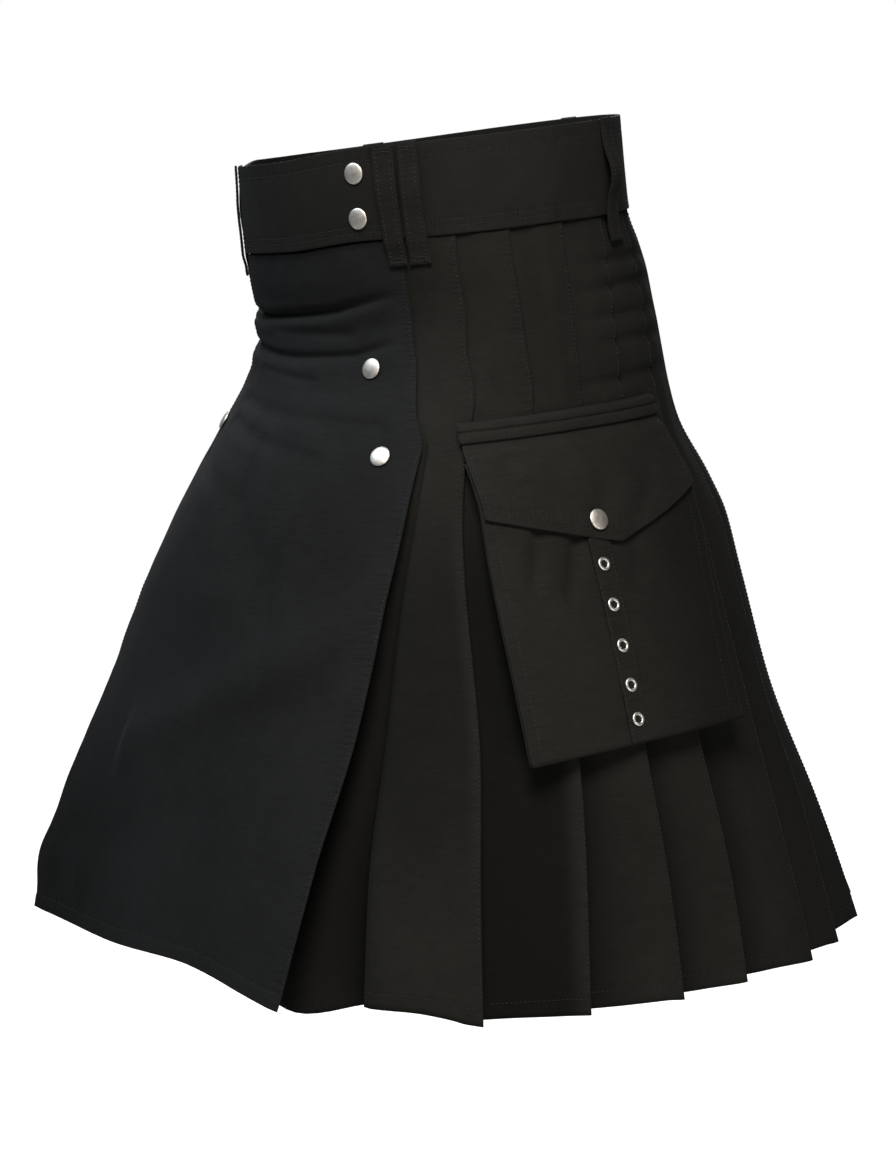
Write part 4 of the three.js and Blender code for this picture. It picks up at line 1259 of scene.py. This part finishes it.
        bm = cloth_grid(acrosses, shares, place, flap_cut, side, seams)
        node = "pocket_flap_" + name
        piece = finished(node, bm, "pocket_drill")
        thicken(piece, FLAP["wall"] + 0.3, 0.4)
        face = FLAP["wall"] / 2 + 0.2
        for start, end in ((-0.94, FLAP["tip_across"]), (FLAP["tip_across"], 0.94)):
            def lower(t):
                across = mix(start, end, t)
                length = flap_edge(across) - FLAP["top"]
                return facing(place, across, 1 - 7.5 / length, face, side)
            sewing.run(lower, 40)
        for across in (-0.94, 0.94):
            sewing.run(lambda t: facing(place, across, mix(0.06, 0.84, t), face, side), 16)

    def strip(self, name, side, sewing):
        profile = Table(("fall", "out"), [
            (0, 0), (0.6, 3.6), (2.4, 5.0), (5.0, 4.9), (6.4, 3.7), (7.8, 4.9), (11.4, 5.0), (13.8, 3.9),
            (14.6, 0),
        ])

        def place(across, fall, out=0.0):
            uneven = 0.2 * ripple(across * 14, fall * 0.2, 70.5 + side)
            raised = profile.read("out", fall - STRIP["top"]) + uneven
            return pocket_point(across, fall, POCKET_SEAT + 0.4 + max(raised - 0.4, 0) + out)

        def seams(across, fall):
            return 0.0, near(fall, STRIP["top"] + 6.4, 3)

        rows = (0, 0.3, 0.8, 1.6, 2.8, 4.2, 5.2, 5.9, 6.4, 6.9, 7.6, 8.8, 10.6, 12.2, 13.3, 14.1, 14.6)
        falls = [STRIP["top"] + row for row in rows]
        bm = cloth_grid(spread(-1, 1, 70), falls, place, pocket_cut, side, seams)
        node = "pocket_strip_" + name
        piece = finished(node, bm, "pocket_drill")
        thicken(piece, 0.8)
        for at in (6.4, 12.6):
            sewing.run(lambda t: facing(place, mix(-0.98, 0.98, t), STRIP["top"] + at, 0.5, side), 60)


def turned(profile, steps):
    """A round fitting: a profile of (radius, height) in millimetres, turned about Z."""
    bm = bmesh.new()
    verts = [bm.verts.new((radius * MM, 0, height * MM)) for radius, height in profile]
    edges = [bm.edges.new(pair) for pair in zip(verts, verts[1:])]
    bmesh.ops.spin(bm, geom=verts + edges, cent=(0, 0, 0), axis=(0, 0, 1), angle=2 * pi,
                   steps=steps, use_merge=True)
    bmesh.ops.remove_doubles(bm, verts=bm.verts, dist=0.000001)
    bmesh.ops.recalc_face_normals(bm, faces=bm.faces)
    return bm


def stand_on(bm, place, away):
    turn = away.to_track_quat("Z", "Y").to_matrix().to_4x4()
    bmesh.ops.transform(bm, matrix=Matrix.Translation(place) @ turn, verts=bm.verts)
    return bm


def slope_at(point_at, across, down, steps, side):
    """A place, and the way out of the cloth there, square to it both ways."""
    step_across, step_down = steps
    round_it = point_at(across + step_across, down) - point_at(across - step_across, down)
    upwards = point_at(across, down - step_down) - point_at(across, down + step_down)
    away = round_it.cross(upwards).normalized()
    return mirrored_point(point_at(across, down), side), mirrored_point(away, side)


SNAP_STAND = 1.3


def apron_face(across, drop):
    return creased_apron_point(across, drop, APRON_OUT + SNAP_STAND)


def band_face(angle, drop):
    band = BANDS["waistband_front"]
    return worn_point(angle, drop, band["middle"] + band["wall"] / 2 + 0.4)


def flap_face(across, share):
    return flap_point(across, share, FLAP["wall"] / 2 + 0.4)


class KILT_OT_snaps(bpy.types.Operator):
    """Make the domed snap caps on the band, apron and pocket flaps"""
    bl_idname = "kilt.snaps"
    bl_label = "Snaps"

    def execute(self, context):
        for snap in APRON_SNAPS:
            if snap["on"] == "band":
                where = slope_at(band_face, snap["angle"], snap["drop"], (2, 6), 1)
            else:
                across = snap["angle"] / APRON.read("edge", snap["drop"])
                where = slope_at(apron_face, across, snap["drop"], (0.05, 6), 1)
            self.build(snap["name"], *where)
        for name, side in (("left", 1), ("right", -1)):
            share = (FLAP_SNAP["fall"] - FLAP["top"]) / (flap_edge(FLAP_SNAP["across"]) - FLAP["top"])
            where = slope_at(flap_face, FLAP_SNAP["across"], share, (0.05, 0.05), side)
            self.build("flap_snap_" + name, *where)
        return {"FINISHED"}

    def build(self, name, place, away):
        r = SNAP_RADIUS
        profile = [
            (0, -0.25), (r * 0.9, -0.25), (r * 0.97, 0.05), (r, 0.4), (r * 0.985, 0.75), (r * 0.94, 1.05),
            (r * 0.86, 1.3), (r * 0.76, 1.55), (r * 0.6, 1.85), (r * 0.42, 2.08), (r * 0.22, 2.2), (0, 2.25),
        ]
        bm = stand_on(turned(profile, 40), place, away)
        finished(name, bm, "snap_metal", "_cap")


class KILT_OT_eyelets(bpy.types.Operator):
    """Make the five rolled eyelets down each pocket's placket"""
    bl_idname = "kilt.eyelets"
    bl_label = "Eyelets"

    def execute(self, context):
        outer, barrel, hole = EYELET["outer"], EYELET["barrel"], EYELET["hole"]
        profile = [
            (hole, -0.7), (barrel, -0.7), (barrel, 0.2), (outer - 0.1, 0.2), (outer, 0.45),
            (outer - 0.2, 0.85), (outer - 0.7, 1.15), (outer - 1.3, 1.2), (outer - 1.9, 1.0),
            (hole + 0.1, 0.5), (hole, -0.7),
        ]

        def placket_face(across, fall):
            return placket_point(across, fall, PLACKET["wall"])

        for name, side in (("left", 1), ("right", -1)):
            for number, fall in enumerate(EYELET["falls"], 1):
                place, away = slope_at(placket_face, 0, fall, (0.05, 4), side)
                bm = stand_on(turned(profile, 32), place, away)
                finished(f"eyelet_{number}_{name}", bm, "eyelet_metal", "_ring")
        return {"FINISHED"}


# Where the camera stands, in metres, and which way it looks
CAMERA_PLACE = (1.4828, -1.0382, -0.111)
CAMERA_WAY = (-0.8088, 0.5791, -0.1023)


class KILT_OT_studio(bpy.types.Operator):
    """Set the pale floor, soft lights and the camera"""
    bl_idname = "kilt.studio"
    bl_label = "Studio"

    def execute(self, context):
        scene = context.scene
        studio = scene.kilt_studio
        self.floor(studio)
        self.light("key_light", (1.09, -0.85, 1.22), 1.0, studio.key, (1.0, 0.96, 0.90))
        self.light("low_light", (1.6, -0.14, -0.7), 1.0, studio.low, (1.0, 0.96, 0.91))
        self.light("back_light", (-1.6, 1.15, 1.4), 1.4, studio.back, (0.94, 0.97, 1.0))
        self.light("fill_light", (-0.62, -1.2, 1.5), 1.2, studio.fill, (0.80, 0.90, 1.0))
        world = bpy.data.worlds.new("soft_studio")
        world.use_nodes = True
        tree = world.node_tree
        path = tree.nodes.new("ShaderNodeLightPath")
        strength = add_range(tree, path.outputs["Is Camera Ray"], 0, 1, studio.ambient, 1.0)
        tree.nodes["Background"].inputs["Color"].default_value = (1, 1, 1, 1)
        tree.links.new(strength, tree.nodes["Background"].inputs["Strength"])
        scene.world = world
        scene.view_settings.view_transform = "Standard"
        data = bpy.data.cameras.new("camera")
        data.lens = studio.lens
        data.sensor_width = 36
        camera = bpy.data.objects.new("camera", data)
        scene.collection.objects.link(camera)
        camera.location = CAMERA_PLACE
        camera.rotation_euler = Vector(CAMERA_WAY).to_track_quat("-Z", "Y").to_euler()
        scene.camera = camera
        return {"FINISHED"}

    def floor(self, studio):
        material = floor_material(tuple(studio.floor))
        bm = bmesh.new()
        bmesh.ops.create_circle(bm, cap_ends=True, segments=96, radius=7)
        bmesh.ops.translate(bm, vec=(0, 0, studio.floor_height), verts=bm.verts)
        mesh = bpy.data.meshes.new("floor")
        bm.to_mesh(mesh)
        bm.free()
        mesh.materials.append(material)
        floor = bpy.data.objects.new("floor", mesh)
        bpy.context.scene.collection.objects.link(floor)

    def light(self, name, place, size, power, colour):
        data = bpy.data.lights.new(name, "AREA")
        data.shape = "DISK"
        data.size = size
        data.energy = power
        data.color = colour
        lamp = bpy.data.objects.new(name, data)
        bpy.context.scene.collection.objects.link(lamp)
        lamp.location = place
        aim = Vector((0, 0, -0.3)) - Vector(place)
        lamp.rotation_euler = aim.to_track_quat("-Z", "Y").to_euler()


class KILT_PT_panel(bpy.types.Panel):
    """Lists the kilt's sizes, finishes and steps"""
    bl_label = "Utility Kilt"
    bl_idname = "KILT_PT_panel"
    bl_space_type = "VIEW_3D"
    bl_region_type = "UI"
    bl_category = "Kilt"

    def draw(self, context):
        for group in (context.scene.kilt_cut, context.scene.kilt_finish, context.scene.kilt_studio):
            box = self.layout.box()
            for name in group.bl_rna.properties.keys():
                if name not in ("rna_type", "name"):
                    box.prop(group, name)
        for operator in OPERATORS:
            self.layout.operator(operator.bl_idname)


OPERATORS = (
    KILT_OT_materials, KILT_OT_studio, KILT_OT_waistbands, KILT_OT_aprons, KILT_OT_pleats,
    KILT_OT_belt_loops, KILT_OT_pockets, KILT_OT_snaps, KILT_OT_eyelets,
)
CLASSES = (KiltCut, KiltFinish, KiltStudio, *OPERATORS, KILT_PT_panel)


def register():
    for item in CLASSES:
        bpy.utils.register_class(item)
    bpy.types.Scene.kilt_cut = bpy.props.PointerProperty(type=KiltCut)
    bpy.types.Scene.kilt_finish = bpy.props.PointerProperty(type=KiltFinish)
    bpy.types.Scene.kilt_studio = bpy.props.PointerProperty(type=KiltStudio)


def unregister():
    del bpy.types.Scene.kilt_studio
    del bpy.types.Scene.kilt_finish
    del bpy.types.Scene.kilt_cut
    for item in reversed(CLASSES):
        bpy.utils.unregister_class(item)


def main():
    register()
    for operator in OPERATORS:
        group, name = operator.bl_idname.split(".")
        getattr(getattr(bpy.ops, group), name)()


if __name__ == "__main__":
    main()
